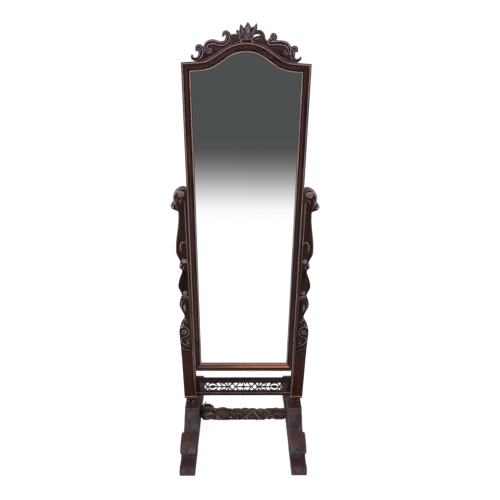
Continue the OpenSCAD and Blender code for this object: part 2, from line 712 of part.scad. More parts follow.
module foot_right() color(wood_dark) foot();
module foot_left() color(wood_dark) right_to_left() foot();
module collar_right() color(wood_red) collar();
module collar_left() color(wood_red) right_to_left() collar();

frame_stile_left();
frame_stile_right();
frame_head_rail();
frame_bottom_rail();
crest_wing_left();
crest_wing_right();
crest_palmette();
crest_dowels();
mirror_glass();
back_board_lower();
back_board_middle();
back_board_upper();
back_screws();
pivot_plate_left();
pivot_plate_right();
pivot_pin_left();
pivot_pin_right();
plate_screws();
post_left();
post_right();
pivot_bush_left();
pivot_bush_right();
friction_washer_left();
friction_washer_right();
fret_top_rail();
fret_panel();
fret_bottom_rail();
joint_pegs();
stretcher();
foot_left();
foot_right();
collar_left();
collar_right();
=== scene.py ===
"""Looks of a carved cheval floor mirror: moulded frame, crest, scroll posts, fret, branch and feet."""
from __future__ import annotations

import json
import logging
import math
from dataclasses import dataclass, field, replace
from enum import Enum
from typing import Sequence

import bmesh
import bpy
import numpy as np
from mathutils import Matrix, Vector


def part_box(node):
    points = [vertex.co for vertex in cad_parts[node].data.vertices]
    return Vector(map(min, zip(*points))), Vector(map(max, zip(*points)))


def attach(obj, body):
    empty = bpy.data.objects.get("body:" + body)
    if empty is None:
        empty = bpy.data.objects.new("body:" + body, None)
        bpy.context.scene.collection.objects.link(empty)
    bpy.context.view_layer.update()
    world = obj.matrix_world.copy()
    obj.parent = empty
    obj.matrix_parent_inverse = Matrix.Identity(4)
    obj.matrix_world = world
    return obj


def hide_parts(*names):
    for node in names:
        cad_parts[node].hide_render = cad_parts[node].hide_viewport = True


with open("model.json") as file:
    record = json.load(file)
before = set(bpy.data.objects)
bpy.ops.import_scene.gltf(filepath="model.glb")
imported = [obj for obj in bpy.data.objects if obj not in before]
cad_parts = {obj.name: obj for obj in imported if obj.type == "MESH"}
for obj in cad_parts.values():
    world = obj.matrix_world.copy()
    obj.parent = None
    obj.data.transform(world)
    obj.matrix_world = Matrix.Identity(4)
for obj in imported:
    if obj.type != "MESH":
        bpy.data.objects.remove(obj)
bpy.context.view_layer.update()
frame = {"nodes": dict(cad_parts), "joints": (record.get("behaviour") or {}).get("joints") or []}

log = logging.getLogger("cheval_mirror")

MM = 0.001
SIDES = 16
Points = np.ndarray


class Body(Enum):
    """The two rigid bodies of the mirror."""

    STAND = "stand"
    MIRROR = "mirror"


class Slot(Enum):
    """Material slots of the record."""

    FRAME = "frame_wood"
    CARVED = "carved_wood"
    FOOT = "foot_wood"
    PEG = "peg_wood"
    GLASS = "mirror_glass"
    BACK = "back_board"
    SCREW = "steel_screw"
    BRASS = "brass"
    WASHER = "leather_washer"


class Grain(Enum):
    """Direction that the wood's fibres run in."""

    X = (0.06, 1.0, 1.0)
    Y = (1.0, 0.06, 1.0)
    Z = (1.0, 1.0, 0.06)


# ---------------------------------------------------------------- curves and meshes


def bezier(a: Sequence[float], b: Sequence[float], c: Sequence[float], d: Sequence[float], n: int = 12) -> Points:
    """Points of a cubic curve.

    Args:
        a: First point.
        b: Handle of the first point.
        c: Handle of the last point.
        d: Last point.
        n: Number of steps.

    Returns:
        An array of n + 1 points.
    """
    t = np.linspace(0, 1, n + 1)[:, None]
    u = 1 - t
    a, b, c, d = (np.asarray(p, float) for p in (a, b, c, d))
    return u**3 * a + 3 * u * u * t * b + 3 * u * t * t * c + t**3 * d


def smooth_path(keys: Sequence[Sequence[float]], step: float) -> Points:
    """Smooth curve through key points, evenly spaced.

    Args:
        keys: Points that the curve passes through.
        step: Distance between the returned points.

    Returns:
        Points along the curve.
    """
    k = np.asarray(keys, float)
    ends = np.vstack([2 * k[0] - k[1], k, 2 * k[-1] - k[-2]])
    out = []
    for i in range(len(k) - 1):
        p0, p1, p2, p3 = ends[i : i + 4]
        t = np.linspace(0, 1, 12, endpoint=False)[:, None]
        out.append(
            0.5 * (2 * p1 + (p2 - p0) * t + (2 * p0 - 5 * p1 + 4 * p2 - p3) * t**2
                   + (3 * p1 - p0 - 3 * p2 + p3) * t**3)
        )
    pts = np.vstack(out + [k[-1:]])
    run = np.concatenate([[0], np.cumsum(np.linalg.norm(np.diff(pts, axis=0), axis=1))])
    n = max(2, int(run[-1] / step) + 1)
    at = np.linspace(0, run[-1], n)
    return np.stack([np.interp(at, run, pts[:, i]) for i in range(pts.shape[1])], axis=1)


def spiral(centre: Sequence[float], r0: float, r1: float, a0: float, turns: float, n: int = 60) -> Points:
    """Flat spiral that winds in from r0 to r1.

    Args:
        centre: Middle of the spiral.
        r0: Radius at the start.
        r1: Radius at the end.
        a0: Angle of the start, in degrees.
        turns: Turns made, negative for clockwise.
        n: Number of steps.

    Returns:
        Points of the spiral.
    """
    t = np.linspace(0, 1, n + 1)
    r = r0 * (r1 / r0) ** t
    a = np.radians(a0) + 2 * math.pi * turns * t
    return np.stack([centre[0] + r * np.cos(a), centre[1] + r * np.sin(a)], axis=1)


def wave(keys: Sequence[Sequence[float]], at: Points) -> Points:
    """Smooth wave through [position, value] pairs.

    Args:
        keys: Pairs in rising order of position.
        at: Positions to read the wave at.

    Returns:
        The wave's values.
    """
    k = np.asarray(keys, float)
    i = np.clip(np.searchsorted(k[:, 0], at, side="right") - 1, 0, len(k) - 2)
    t = np.clip((at - k[i, 0]) / (k[i + 1, 0] - k[i, 0]), 0, 1)
    return k[i, 1] + (k[i + 1, 1] - k[i, 1]) * (1 - np.cos(math.pi * t)) / 2


def distance_to(path: Points, x: Points, z: Points) -> tuple[Points, Points]:
    """Distance from many points to one path.

    Args:
        path: Points of the path in a plane.
        x: First coordinates.
        z: Second coordinates.

    Returns:
        The distances, and how far along the path the nearest place is, from 0 to 1.
    """
    best = np.full(x.shape, 1e9)
    along = np.zeros(x.shape)
    lengths = np.linalg.norm(np.diff(path, axis=0), axis=1)
    run = np.concatenate([[0], np.cumsum(lengths)]) / max(lengths.sum(), 1e-9)
    for i in range(len(path) - 1):
        a, d = path[i], path[i + 1] - path[i]
        t = np.clip(((x - a[0]) * d[0] + (z - a[1]) * d[1]) / max(d @ d, 1e-12), 0, 1)
        dist = np.hypot(x - a[0] - t * d[0], z - a[1] - t * d[1])
        near = dist < best
        best = np.where(near, dist, best)
        along = np.where(near, run[i] + t * (run[i + 1] - run[i]), along)
    return best, along


@dataclass(frozen=True)
class Ridge:
    """A raised or sunk line of carving on a face.

    A positive height stands proud and a negative one is a groove.
    """

    path: Points
    width: float
    height: float
    taper: float = 0.0

    def height_at(self, x: Points, z: Points) -> Points:
        """Height of the line over a face.

        Args:
            x: First coordinates of the places.
            z: Second coordinates of the places.

        Returns:
            Height at each place, 0 where the line doesn't reach.
        """
        out = np.zeros(x.shape)
        lo = self.path.min(0) - self.width
        hi = self.path.max(0) + self.width
        near = (x > lo[0]) & (x < hi[0]) & (z > lo[1]) & (z < hi[1])
        if near.any():
            d, t = distance_to(self.path, x[near], z[near])
            w = self.width * (1 - self.taper * np.abs(2 * t - 1) ** 3)
            out[near] = self.height * np.sqrt(np.clip(1 - (d / w) ** 2, 0, 1)) * (w / self.width)
        return out


def relief(ridges: Sequence[Ridge], x: Points, z: Points) -> Points:
    """Sum of a face's carving: the tallest ridge, less the deepest groove.

    Args:
        ridges: Lines of carving.
        x: First coordinates of the places.
        z: Second coordinates of the places.

    Returns:
        Height at each place.
    """
    up = np.zeros(x.shape)
    down = np.zeros(x.shape)
    for r in ridges:
        h = r.height_at(x, z)
        up = np.maximum(up, h)
        down = np.minimum(down, h)
    return up + down


def new_object(name: str, verts_mm: Points, faces: Sequence[Sequence[int]], smooth: bool = True) -> bpy.types.Object:
    """Makes an object from points in millimetres.

    Args:
        name: Name of the piece.
        verts_mm: Its points.
        faces: Its faces.
        smooth: Whether it is shaded smooth.

    Returns:
        The object, linked to the scene.
    """
    mesh = bpy.data.meshes.new(name)
    mesh.from_pydata([tuple(v) for v in np.asarray(verts_mm, float) * MM], [], [tuple(f) for f in faces])
    bm = bmesh.new()
    bm.from_mesh(mesh)
    bmesh.ops.recalc_face_normals(bm, faces=bm.faces)
    bm.to_mesh(mesh)
    bm.free()
    mesh.shade_smooth() if smooth else mesh.shade_flat()
    obj = bpy.data.objects.new(name, mesh)
    bpy.context.scene.collection.objects.link(obj)
    return obj


def ring_faces(rows: int, cols: int, start: int = 0, cap: bool = True) -> list[tuple[int, ...]]:
    """Faces of a tube of closed rings.

    Args:
        rows: Number of rings.
        cols: Points in a ring.
        start: Number of the first point.
        cap: Whether both ends are closed.

    Returns:
        The faces.
    """
    out: list[tuple[int, ...]] = []
    for r in range(rows - 1):
        for c in range(cols):
            n = (c + 1) % cols
            out.append((start + r * cols + c, start + r * cols + n,
                        start + (r + 1) * cols + n, start + (r + 1) * cols + c))
    if cap:
        out.append(tuple(start + c for c in range(cols)))
        out.append(tuple(start + (rows - 1) * cols + c for c in range(cols))[::-1])
    return out


def copy_points(obj: bpy.types.Object) -> Points:
    """Points of a mesh in millimetres."""
    co = np.empty(len(obj.data.vertices) * 3, np.float64)
    obj.data.vertices.foreach_get("co", co)
    return co.reshape(-1, 3) / MM


def copy_normals(obj: bpy.types.Object) -> Points:
    """Vertex normals of a mesh."""
    no = np.empty(len(obj.data.vertices) * 3, np.float32)
    obj.data.vertices.foreach_get("normal", no)
    return no.reshape(-1, 3).astype(float)


def set_points(obj: bpy.types.Object, verts_mm: Points) -> None:
    """Gives a mesh new points in millimetres."""
    obj.data.vertices.foreach_set("co", (verts_mm * MM).astype(np.float32).ravel())
    obj.data.update()


def apply_modifiers(obj: bpy.types.Object) -> None:
    """Makes an object's modifiers permanent."""
    graph = bpy.context.evaluated_depsgraph_get()
    mesh = bpy.data.meshes.new_from_object(obj.evaluated_get(graph))
    obj.modifiers.clear()
    old = obj.data
    obj.data = mesh
    mesh.name = obj.name
    bpy.data.meshes.remove(old)


@dataclass
class Carving:
    """Solid strokes and lumps that are fused into one carved piece."""

    name: str
    verts: list[Points] = field(default_factory=list)
    faces: list[tuple[int, ...]] = field(default_factory=list)
    count: int = 0

    def add(self, verts: Points, faces: Sequence[Sequence[int]]) -> None:
        """Adds one closed solid.

        Args:
            verts: Its points in millimetres.
            faces: Its faces, numbered from 0.
        """
        self.verts.append(np.asarray(verts, float))
        self.faces += [tuple(i + self.count for i in f) for f in faces]
        self.count += len(verts)

    def stroke(self, path: Points, width: Sequence[float], depth: Sequence[float], square: float = 1.0) -> None:
        """Adds a rounded stroke along a path in space.

        Args:
            path: Points of the path, with X, Y and Z.
            width: Half widths in the X-Z plane at even steps along the path.
            depth: Half depths in Y at even steps along the path.
            square: 1 for an oval section, less for one with flatter faces and firmer edges.
        """
        n = len(path)
        t = np.linspace(0, 1, n)
        w = np.interp(t, np.linspace(0, 1, len(width)), width)
        d = np.interp(t, np.linspace(0, 1, len(depth)), depth)
        tangent = np.gradient(path, axis=0)
        tangent /= np.maximum(np.linalg.norm(tangent, axis=1, keepdims=True), 1e-9)
        side = np.cross(tangent, [0.0, 1.0, 0.0])
        side /= np.maximum(np.linalg.norm(side, axis=1, keepdims=True), 1e-9)
        up = np.cross(side, tangent)
        a = np.linspace(0, 2 * math.pi, SIDES, endpoint=False)
        across = np.sign(np.cos(a)) * np.abs(np.cos(a)) ** square
        out = np.sign(np.sin(a)) * np.abs(np.sin(a)) ** square
        steps = [(0, -0.95, 0.3), (0, -0.6, 0.8)] + [(k, 0.0, 1.0) for k in range(n)]
        steps += [(n - 1, 0.6, 0.8), (n - 1, 0.95, 0.3)]
        verts = []
        for k, push, shrink in steps:
            c = path[k] + tangent[k] * push * w[k]
            verts.append(c + shrink * (np.outer(across, side[k]) * w[k] + np.outer(out, up[k]) * d[k]))
        self.add(np.vstack(verts), ring_faces(len(steps), SIDES))

    def stroke_flat(self, path: Points, width: Sequence[float], depth: Sequence[float], y: float = 0.0,
                    square: float = 1.0) -> None:
        """Adds a stroke whose path is given in X and Z only, at one Y."""
        self.stroke(np.stack([path[:, 0], np.full(len(path), y), path[:, 1]], axis=1), width, depth, square)

    def ball(self, centre: Sequence[float], size: Sequence[float], lobes: int = 0, lobe_depth: float = 0.0) -> None:
        """Adds a rounded lump, ribbed like a melon where lobes is set.

        Args:
            centre: Its middle.
            size: Half sizes along X, Y and Z.
            lobes: Number of ribs round its X axis.
            lobe_depth: Share by which the ribs cut in.
        """
        rows, cols = 14, 28
        verts = []
        for r in range(rows):
            lat = math.pi * (r + 0.5) / rows
            a = np.linspace(0, 2 * math.pi, cols, endpoint=False)
            rib = 1 - lobe_depth * (0.5 + 0.5 * np.cos(lobes * a)) if lobes else np.ones(cols)
            verts.append(np.stack([
                np.full(cols, math.cos(lat)) * size[0],
                np.cos(a) * math.sin(lat) * size[1] * rib,
                np.sin(a) * math.sin(lat) * size[2] * rib], axis=1) + np.asarray(centre))
        self.add(np.vstack(verts), ring_faces(rows, cols))

    def plate(self, outline: Points, y0: float, y1: float) -> None:
        """Adds a flat plate.

        Args:
            outline: Its outline in X and Z.
            y0: Its front.
            y1: Its back.
        """
        n = len(outline)
        front = np.stack([outline[:, 0], np.full(n, y0), outline[:, 1]], axis=1)
        back = front + [0, y1 - y0, 0]
        self.add(np.vstack([front, back]), ring_faces(2, n))

    def fuse(self, voxel: float, smooth: int = 3) -> bpy.types.Object:
        """Fuses the solids into one skin and softens it.

        Args:
            voxel: Size of the skin's facets in millimetres.
            smooth: Rounds of smoothing.

        Returns:
            The carved piece.
        """
        obj = new_object(self.name, np.vstack(self.verts), self.faces)
        remesh = obj.modifiers.new("fuse", "REMESH")
        remesh.mode = "VOXEL"
        remesh.voxel_size = voxel * MM
        soften = obj.modifiers.new("soften", "SMOOTH")
        soften.factor = 0.5
        soften.iterations = smooth
        apply_modifiers(obj)
        obj.data.shade_smooth()
        return obj


def mark_points(obj: bpy.types.Object, name: str, values: Points) -> None:
    """Stores one value for each point of a piece, for its finish to read.

    Args:
        obj: The piece.
        name: Name of the mark: the tone of wear, grime, painted highlight and painted shade, or the share of a painted
            light tint.
        values: The values, from 0 to 1.
    """
    layer = obj.data.attributes.new(name, "FLOAT", "POINT")
    layer.data.foreach_set("value", np.asarray(values, np.float32).ravel())


def edge_tone(obj: bpy.types.Object, reach: float, rounds: int = 10) -> None:
    """Marks how proud or sunk each point of a piece is, for its finish to show wear with painted highlight on proud
    points and grime with painted shade in sunk ones.

    Args:
        obj: The piece.
        reach: Distance from the softened skin, in millimetres, that counts as fully proud or sunk.
        rounds: Rounds of softening, more for wider hollows.
    """
    edges = np.empty(len(obj.data.edges) * 2, np.int32)
    obj.data.edges.foreach_get("vertices", edges)
    a, b = edges.reshape(-1, 2).T
    start = copy_points(obj)
    n = len(start)
    links = np.maximum(np.bincount(a, minlength=n) + np.bincount(b, minlength=n), 1)
    soft = start.copy()
    for _ in range(rounds):
        total = np.stack([np.bincount(a, soft[b, k], n) + np.bincount(b, soft[a, k], n) for k in range(3)], axis=1)
        soft = 0.5 * soft + 0.5 * total / links[:, None]
    tone = ((start - soft) * copy_normals(obj)).sum(1) / reach
    mark_points(obj, "tone", np.clip(0.5 + 0.5 * tone, 0.01, 1))


# ---------------------------------------------------------------- finishes


@dataclass(frozen=True)
class Wood:
    """Waxed dark hardwood: proud points take a light colour, partly rubbed wear and partly painted highlight; sunk
    points are darkened, partly by grime and partly by painted shade; and a painted light tint goes where a piece is
    marked.
    """

    name: str
    dark: tuple[float, float, float]
    light: tuple[float, float, float]
    worn_and_highlight: tuple[float, float, float]
    grain: Grain = Grain.Z
    roughness: float = 0.32
    coat: float = 0.03
    bump: float = 0.12
    scale: float = 1.0
    wear_and_highlight: float = 0.6
    grime_and_shade: float = 0.8
    specular: float = 0.07
    light_tint: tuple[float, float, float] | None = None

    def ramp(self, tree: bpy.types.NodeTree, source: bpy.types.NodeSocket, low: float, high: float,
             a: tuple[float, float, float], b: tuple[float, float, float]) -> bpy.types.NodeSocket:
        """Adds a two-colour ramp.

        Args:
            tree: Node tree to add it to.
            source: Value that it reads.
            low: Value that gives the first colour.
            high: Value that gives the second colour.
            a: First colour.
            b: Second colour.

        Returns:
            Its colour.
        """
        node = tree.nodes.new("ShaderNodeValToRGB")
        node.color_ramp.elements[0].position = low
        node.color_ramp.elements[0].color = (*a, 1)
        node.color_ramp.elements[1].position = high
        node.color_ramp.elements[1].color = (*b, 1)
        tree.links.new(source, node.inputs["Fac"])
        return node.outputs["Color"]

    def noise(self, tree: bpy.types.NodeTree, vector: bpy.types.NodeSocket, scale: float, detail: float,
              twist: float = 0.0) -> bpy.types.NodeSocket:
        """Adds a noise pattern.

        Args:
            tree: Node tree to add it to.
            vector: Place that it reads.
            scale: Its fineness.
            detail: Its octaves.
            twist: Its distortion.

        Returns:
            Its value.
        """
        node = tree.nodes.new("ShaderNodeTexNoise")
        node.inputs["Scale"].default_value = scale
        node.inputs["Detail"].default_value = detail
        node.inputs["Distortion"].default_value = twist
        tree.links.new(vector, node.inputs["Vector"])
        return node.outputs["Fac"]

    def mix(self, tree: bpy.types.NodeTree, blend: str, share: float | bpy.types.NodeSocket,
            a: bpy.types.NodeSocket, b: bpy.types.NodeSocket | tuple[float, float, float]) -> bpy.types.NodeSocket:
        """Mixes two colours.

        Args:
            tree: Node tree to add the mix to.
            blend: Way of mixing.
            share: Share of the second colour, a number or a value.
            a: First colour.
            b: Second colour, a value or three numbers.

        Returns:
            The mixed colour.
        """
        node = tree.nodes.new("ShaderNodeMix")
        node.data_type = "RGBA"
        node.blend_type = blend
        if isinstance(share, float):
            node.inputs["Factor"].default_value = share
        else:
            tree.links.new(share, node.inputs["Factor"])
        tree.links.new(a, node.inputs["A"])
        if isinstance(b, tuple):
            node.inputs["B"].default_value = (*b, 1)
        else:
            tree.links.new(b, node.inputs["B"])
        return node.outputs["Result"]

    def material(self) -> bpy.types.Material:
        """Builds the node material, once for each name.

        Returns:
            The material.
        """
        found = bpy.data.materials.get(self.name)
        if found:
            return found
        mat = bpy.data.materials.new(self.name)
        mat.use_nodes = True
        nt = mat.node_tree
        nodes, links = nt.nodes, nt.links
        bsdf = nodes["Principled BSDF"]
        coord = nodes.new("ShaderNodeTexCoord")
        stretch = nodes.new("ShaderNodeMapping")
        stretch.inputs["Scale"].default_value = self.grain.value
        links.new(coord.outputs["Object"], stretch.inputs["Vector"])
        fibre = self.noise(nt, stretch.outputs["Vector"], 260 * self.scale, 6)
        figure = self.noise(nt, stretch.outputs["Vector"], 42 * self.scale, 4, 1.2)
        pores = self.noise(nt, stretch.outputs["Vector"], 900 * self.scale, 3)
        blotch = self.noise(nt, coord.outputs["Object"], 14, 3)

        colour = self.ramp(nt, figure, 0.38, 0.62, self.dark, self.light)
        colour = self.mix(nt, "MULTIPLY", 0.35, colour, self.ramp(nt, fibre, 0.36, 0.6, (0.45, 0.42, 0.42), (1, 1, 1)))
        # painted light: a tint laid where a piece is marked, for light that the glass reflects onto the bottom rail
        # and for how light falls on the feet's faces
        if self.light_tint:
            light_tint_share = nodes.new("ShaderNodeAttribute")
            light_tint_share.attribute_name = "light_tint_share"
            share = self.ramp(nt, light_tint_share.outputs["Fac"], 0.0, 1.0, (0, 0, 0), (1, 1, 1))
            colour = self.mix(nt, "MIX", share, colour, self.light_tint)
        # painted light and wear: proud points take the worn colour, partly rubbed wear and partly painted highlight;
        # sunk points are darkened, partly by grime and partly by painted shade
        tone = nodes.new("ShaderNodeAttribute")
        tone.attribute_name = "tone"
        proud = self.ramp(nt, tone.outputs["Fac"], 0.58, 0.95, (0, 0, 0), (self.wear_and_highlight,) * 3)
        rubbed_and_lit = self.mix(nt, "MULTIPLY", 1.0, proud, self.ramp(nt, blotch, 0.3, 0.6, (0.55,) * 3, (1, 1, 1)))
        colour = self.mix(nt, "MIX", rubbed_and_lit, colour, self.worn_and_highlight)
        sunk = 1 - self.grime_and_shade
        unmarked = self.ramp(nt, tone.outputs["Fac"], 0.0, 0.004, (1, 1, 1), (0, 0, 0))
        hollow = self.ramp(nt, tone.outputs["Fac"], 0.12, 0.46, (sunk,) * 3, (1, 1, 1))
        colour = self.mix(nt, "MULTIPLY", 1.0, colour, self.mix(nt, "LIGHTEN", 1.0, hollow, unmarked))
        links.new(colour, bsdf.inputs["Base Color"])

        rough = nodes.new("ShaderNodeMapRange")
        rough.inputs["From Min"].default_value = 0.3
        rough.inputs["From Max"].default_value = 0.7
        rough.inputs["To Min"].default_value = self.roughness - 0.06
        rough.inputs["To Max"].default_value = self.roughness + 0.12
        links.new(blotch, rough.inputs["Value"])
        links.new(rough.outputs["Result"], bsdf.inputs["Roughness"])
        bsdf.inputs["Coat Weight"].default_value = self.coat
        bsdf.inputs["Coat Roughness"].default_value = 0.2
        bsdf.inputs["Specular IOR Level"].default_value = self.specular

        height = nodes.new("ShaderNodeMath")
        height.operation = "ADD"
        links.new(fibre, height.inputs[0])
        links.new(pores, height.inputs[1])
        bump = nodes.new("ShaderNodeBump")
        bump.inputs["Strength"].default_value = self.bump
        bump.inputs["Distance"].default_value = 0.0006
        links.new(height.outputs["Value"], bump.inputs["Height"])
        links.new(bump.outputs["Normal"], bsdf.inputs["Normal"])
        return mat


@dataclass(frozen=True)
class Metal:
    """Brass or steel with fine scratches and dull patches."""

    name: str
    colour: tuple[float, float, float]
    tarnish: tuple[float, float, float]
    roughness: float = 0.3

    def material(self) -> bpy.types.Material:
        """Builds the node material, once for each name.

        Returns:
            The material.
        """
        found = bpy.data.materials.get(self.name)
        if found:
            return found
        mat = bpy.data.materials.new(self.name)
        mat.use_nodes = True
        nodes, links = mat.node_tree.nodes, mat.node_tree.links
        bsdf = nodes["Principled BSDF"]
        coord = nodes.new("ShaderNodeTexCoord")
        patch = nodes.new("ShaderNodeTexNoise")
        patch.inputs["Scale"].default_value = 120
        patch.inputs["Detail"].default_value = 6
        links.new(coord.outputs["Object"], patch.inputs["Vector"])
        ramp = nodes.new("ShaderNodeValToRGB")
        ramp.color_ramp.elements[0].position = 0.4
        ramp.color_ramp.elements[0].color = (*self.tarnish, 1)
        ramp.color_ramp.elements[1].position = 0.62
        ramp.color_ramp.elements[1].color = (*self.colour, 1)
        links.new(patch.outputs["Fac"], ramp.inputs["Fac"])
        links.new(ramp.outputs["Color"], bsdf.inputs["Base Color"])
        rough = nodes.new("ShaderNodeMapRange")
        rough.inputs["To Min"].default_value = self.roughness + 0.2
        rough.inputs["To Max"].default_value = self.roughness - 0.05
        links.new(patch.outputs["Fac"], rough.inputs["Value"])
        links.new(rough.outputs["Result"], bsdf.inputs["Roughness"])
        bsdf.inputs["Metallic"].default_value = 1.0
        bump = nodes.new("ShaderNodeBump")
        bump.inputs["Strength"].default_value = 0.1
        bump.inputs["Distance"].default_value = 0.0003
        links.new(patch.outputs["Fac"], bump.inputs["Height"])
        links.new(bump.outputs["Normal"], bsdf.inputs["Normal"])
        return mat


@dataclass(frozen=True)
class Silvering:
    """Silvered plate glass with a faint green body and a trace of haze."""

    name: str = "silvered_glass"
    tint: tuple[float, float, float] = (0.90, 0.92, 0.91)

    def material(self) -> bpy.types.Material:
        """Builds the node material.

        Returns:
            The material.
        """
        mat = bpy.data.materials.new(self.name)
        mat.use_nodes = True
        nodes, links = mat.node_tree.nodes, mat.node_tree.links
        bsdf = nodes["Principled BSDF"]
        coord = nodes.new("ShaderNodeTexCoord")
        haze = nodes.new("ShaderNodeTexNoise")
        haze.inputs["Scale"].default_value = 6
        haze.inputs["Detail"].default_value = 4
        links.new(coord.outputs["Object"], haze.inputs["Vector"])
        rough = nodes.new("ShaderNodeMapRange")
        rough.inputs["From Min"].default_value = 0.35
        rough.inputs["From Max"].default_value = 0.75
        rough.inputs["To Min"].default_value = 0.005
        rough.inputs["To Max"].default_value = 0.03
        links.new(haze.outputs["Fac"], rough.inputs["Value"])
        links.new(rough.outputs["Result"], bsdf.inputs["Roughness"])
        tone = nodes.new("ShaderNodeValToRGB")
        tone.color_ramp.elements[0].color = (*[c * 0.97 for c in self.tint], 1)
        tone.color_ramp.elements[1].color = (*self.tint, 1)
        links.new(haze.outputs["Fac"], tone.inputs["Fac"])
        links.new(tone.outputs["Color"], bsdf.inputs["Base Color"])
        bsdf.inputs["Metallic"].default_value = 1.0
        return mat


# The worn colours on proud points are partly rubbed wear and partly painted highlight: the crest's silvery purple and
# the branch's pale ribbons stand for highlights from the lamps.
FRAME_WOOD = Wood("rosewood_frame", (0.024, 0.0095, 0.0085), (0.059, 0.024, 0.0235), (0.38, 0.27, 0.265),
                  bump=0.08, wear_and_highlight=0.75)
FRAME_WOOD_ACROSS = replace(FRAME_WOOD, name="rosewood_frame_across", grain=Grain.X)
# the bottom rail's light warm tint is painted light, reflected from the glass onto its inner ledge
SILL_WOOD = replace(FRAME_WOOD, name="rosewood_sill", grain=Grain.X, light_tint=(0.42, 0.165, 0.10))
RAIL_WOOD = replace(FRAME_WOOD, name="rosewood_rail", grain=Grain.X, dark=(0.014, 0.006, 0.006),
                    light=(0.034, 0.014, 0.013), wear_and_highlight=0.35)
CARVED_WOOD = Wood("rosewood_carved", (0.018, 0.0056, 0.0042), (0.044, 0.0125, 0.0085), (0.50, 0.39, 0.375),
                   bump=0.15, wear_and_highlight=0.7)
CREST_WOOD = Wood("rosewood_crest", (0.026, 0.012, 0.014), (0.062, 0.026, 0.029), (0.52, 0.44, 0.48),
                  Grain.X, 0.3, bump=0.12, wear_and_highlight=0.85, grime_and_shade=0.92)
BRANCH_WOOD = Wood("rosewood_branch", (0.026, 0.013, 0.012), (0.085, 0.044, 0.038), (0.74, 0.63, 0.59),
                   Grain.X, 0.34, bump=0.2, wear_and_highlight=0.8, grime_and_shade=0.9)
# the feet's purple-grey dark and light colours are a painted sheen; up-facing faces take the dark red tint instead, so
# the colour follows which way a face points
FOOT_WOOD = Wood("rosewood_foot", (0.042, 0.033, 0.035), (0.090, 0.072, 0.076), (0.28, 0.22, 0.23),
                 Grain.Y, 0.36, bump=0.15, wear_and_highlight=0.5, light_tint=(0.060, 0.021, 0.024))
BACK_WOOD = Wood("oiled_back_board", (0.12, 0.062, 0.032), (0.23, 0.135, 0.075), (0.36, 0.25, 0.16),
                 Grain.X, 0.62, 0.0, 0.5)
PEG_WOOD = Wood("bamboo_peg", (0.34, 0.23, 0.12), (0.52, 0.38, 0.22), (0.6, 0.48, 0.3), Grain.Y, 0.55, 0.0)
LEATHER = Wood("waxed_leather", (0.10, 0.055, 0.03), (0.20, 0.12, 0.07), (0.3, 0.2, 0.13), Grain.Z, 0.6, 0.0, 0.6)
BRASS = Metal("aged_brass", (0.62, 0.44, 0.18), (0.30, 0.20, 0.09))
STEEL = Metal("screw_steel", (0.42, 0.40, 0.37), (0.16, 0.12, 0.09), 0.4)


def dress(obj: bpy.types.Object, finish: Wood | Metal | Silvering) -> None:
    """Gives a piece its finish."""
    obj.data.materials.clear()
    obj.data.materials.append(finish.material())


def place(obj: bpy.types.Object, body: Body, slot: Slot, *nodes: str) -> None:
    """Attaches a piece to its body and hides the CAD nodes that it stands for.

    Args:
        obj: The piece, already in place.
        body: Body that it moves with.
        slot: Material slot of the record, not used.
        *nodes: CAD nodes that it stands for.
    """
    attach(obj, body.value)
    if nodes:
        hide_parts(*nodes)
    log.info("%s: %d faces, body %s", obj.name, len(obj.data.polygons), body.value)


# ---------------------------------------------------------------- mirror frame


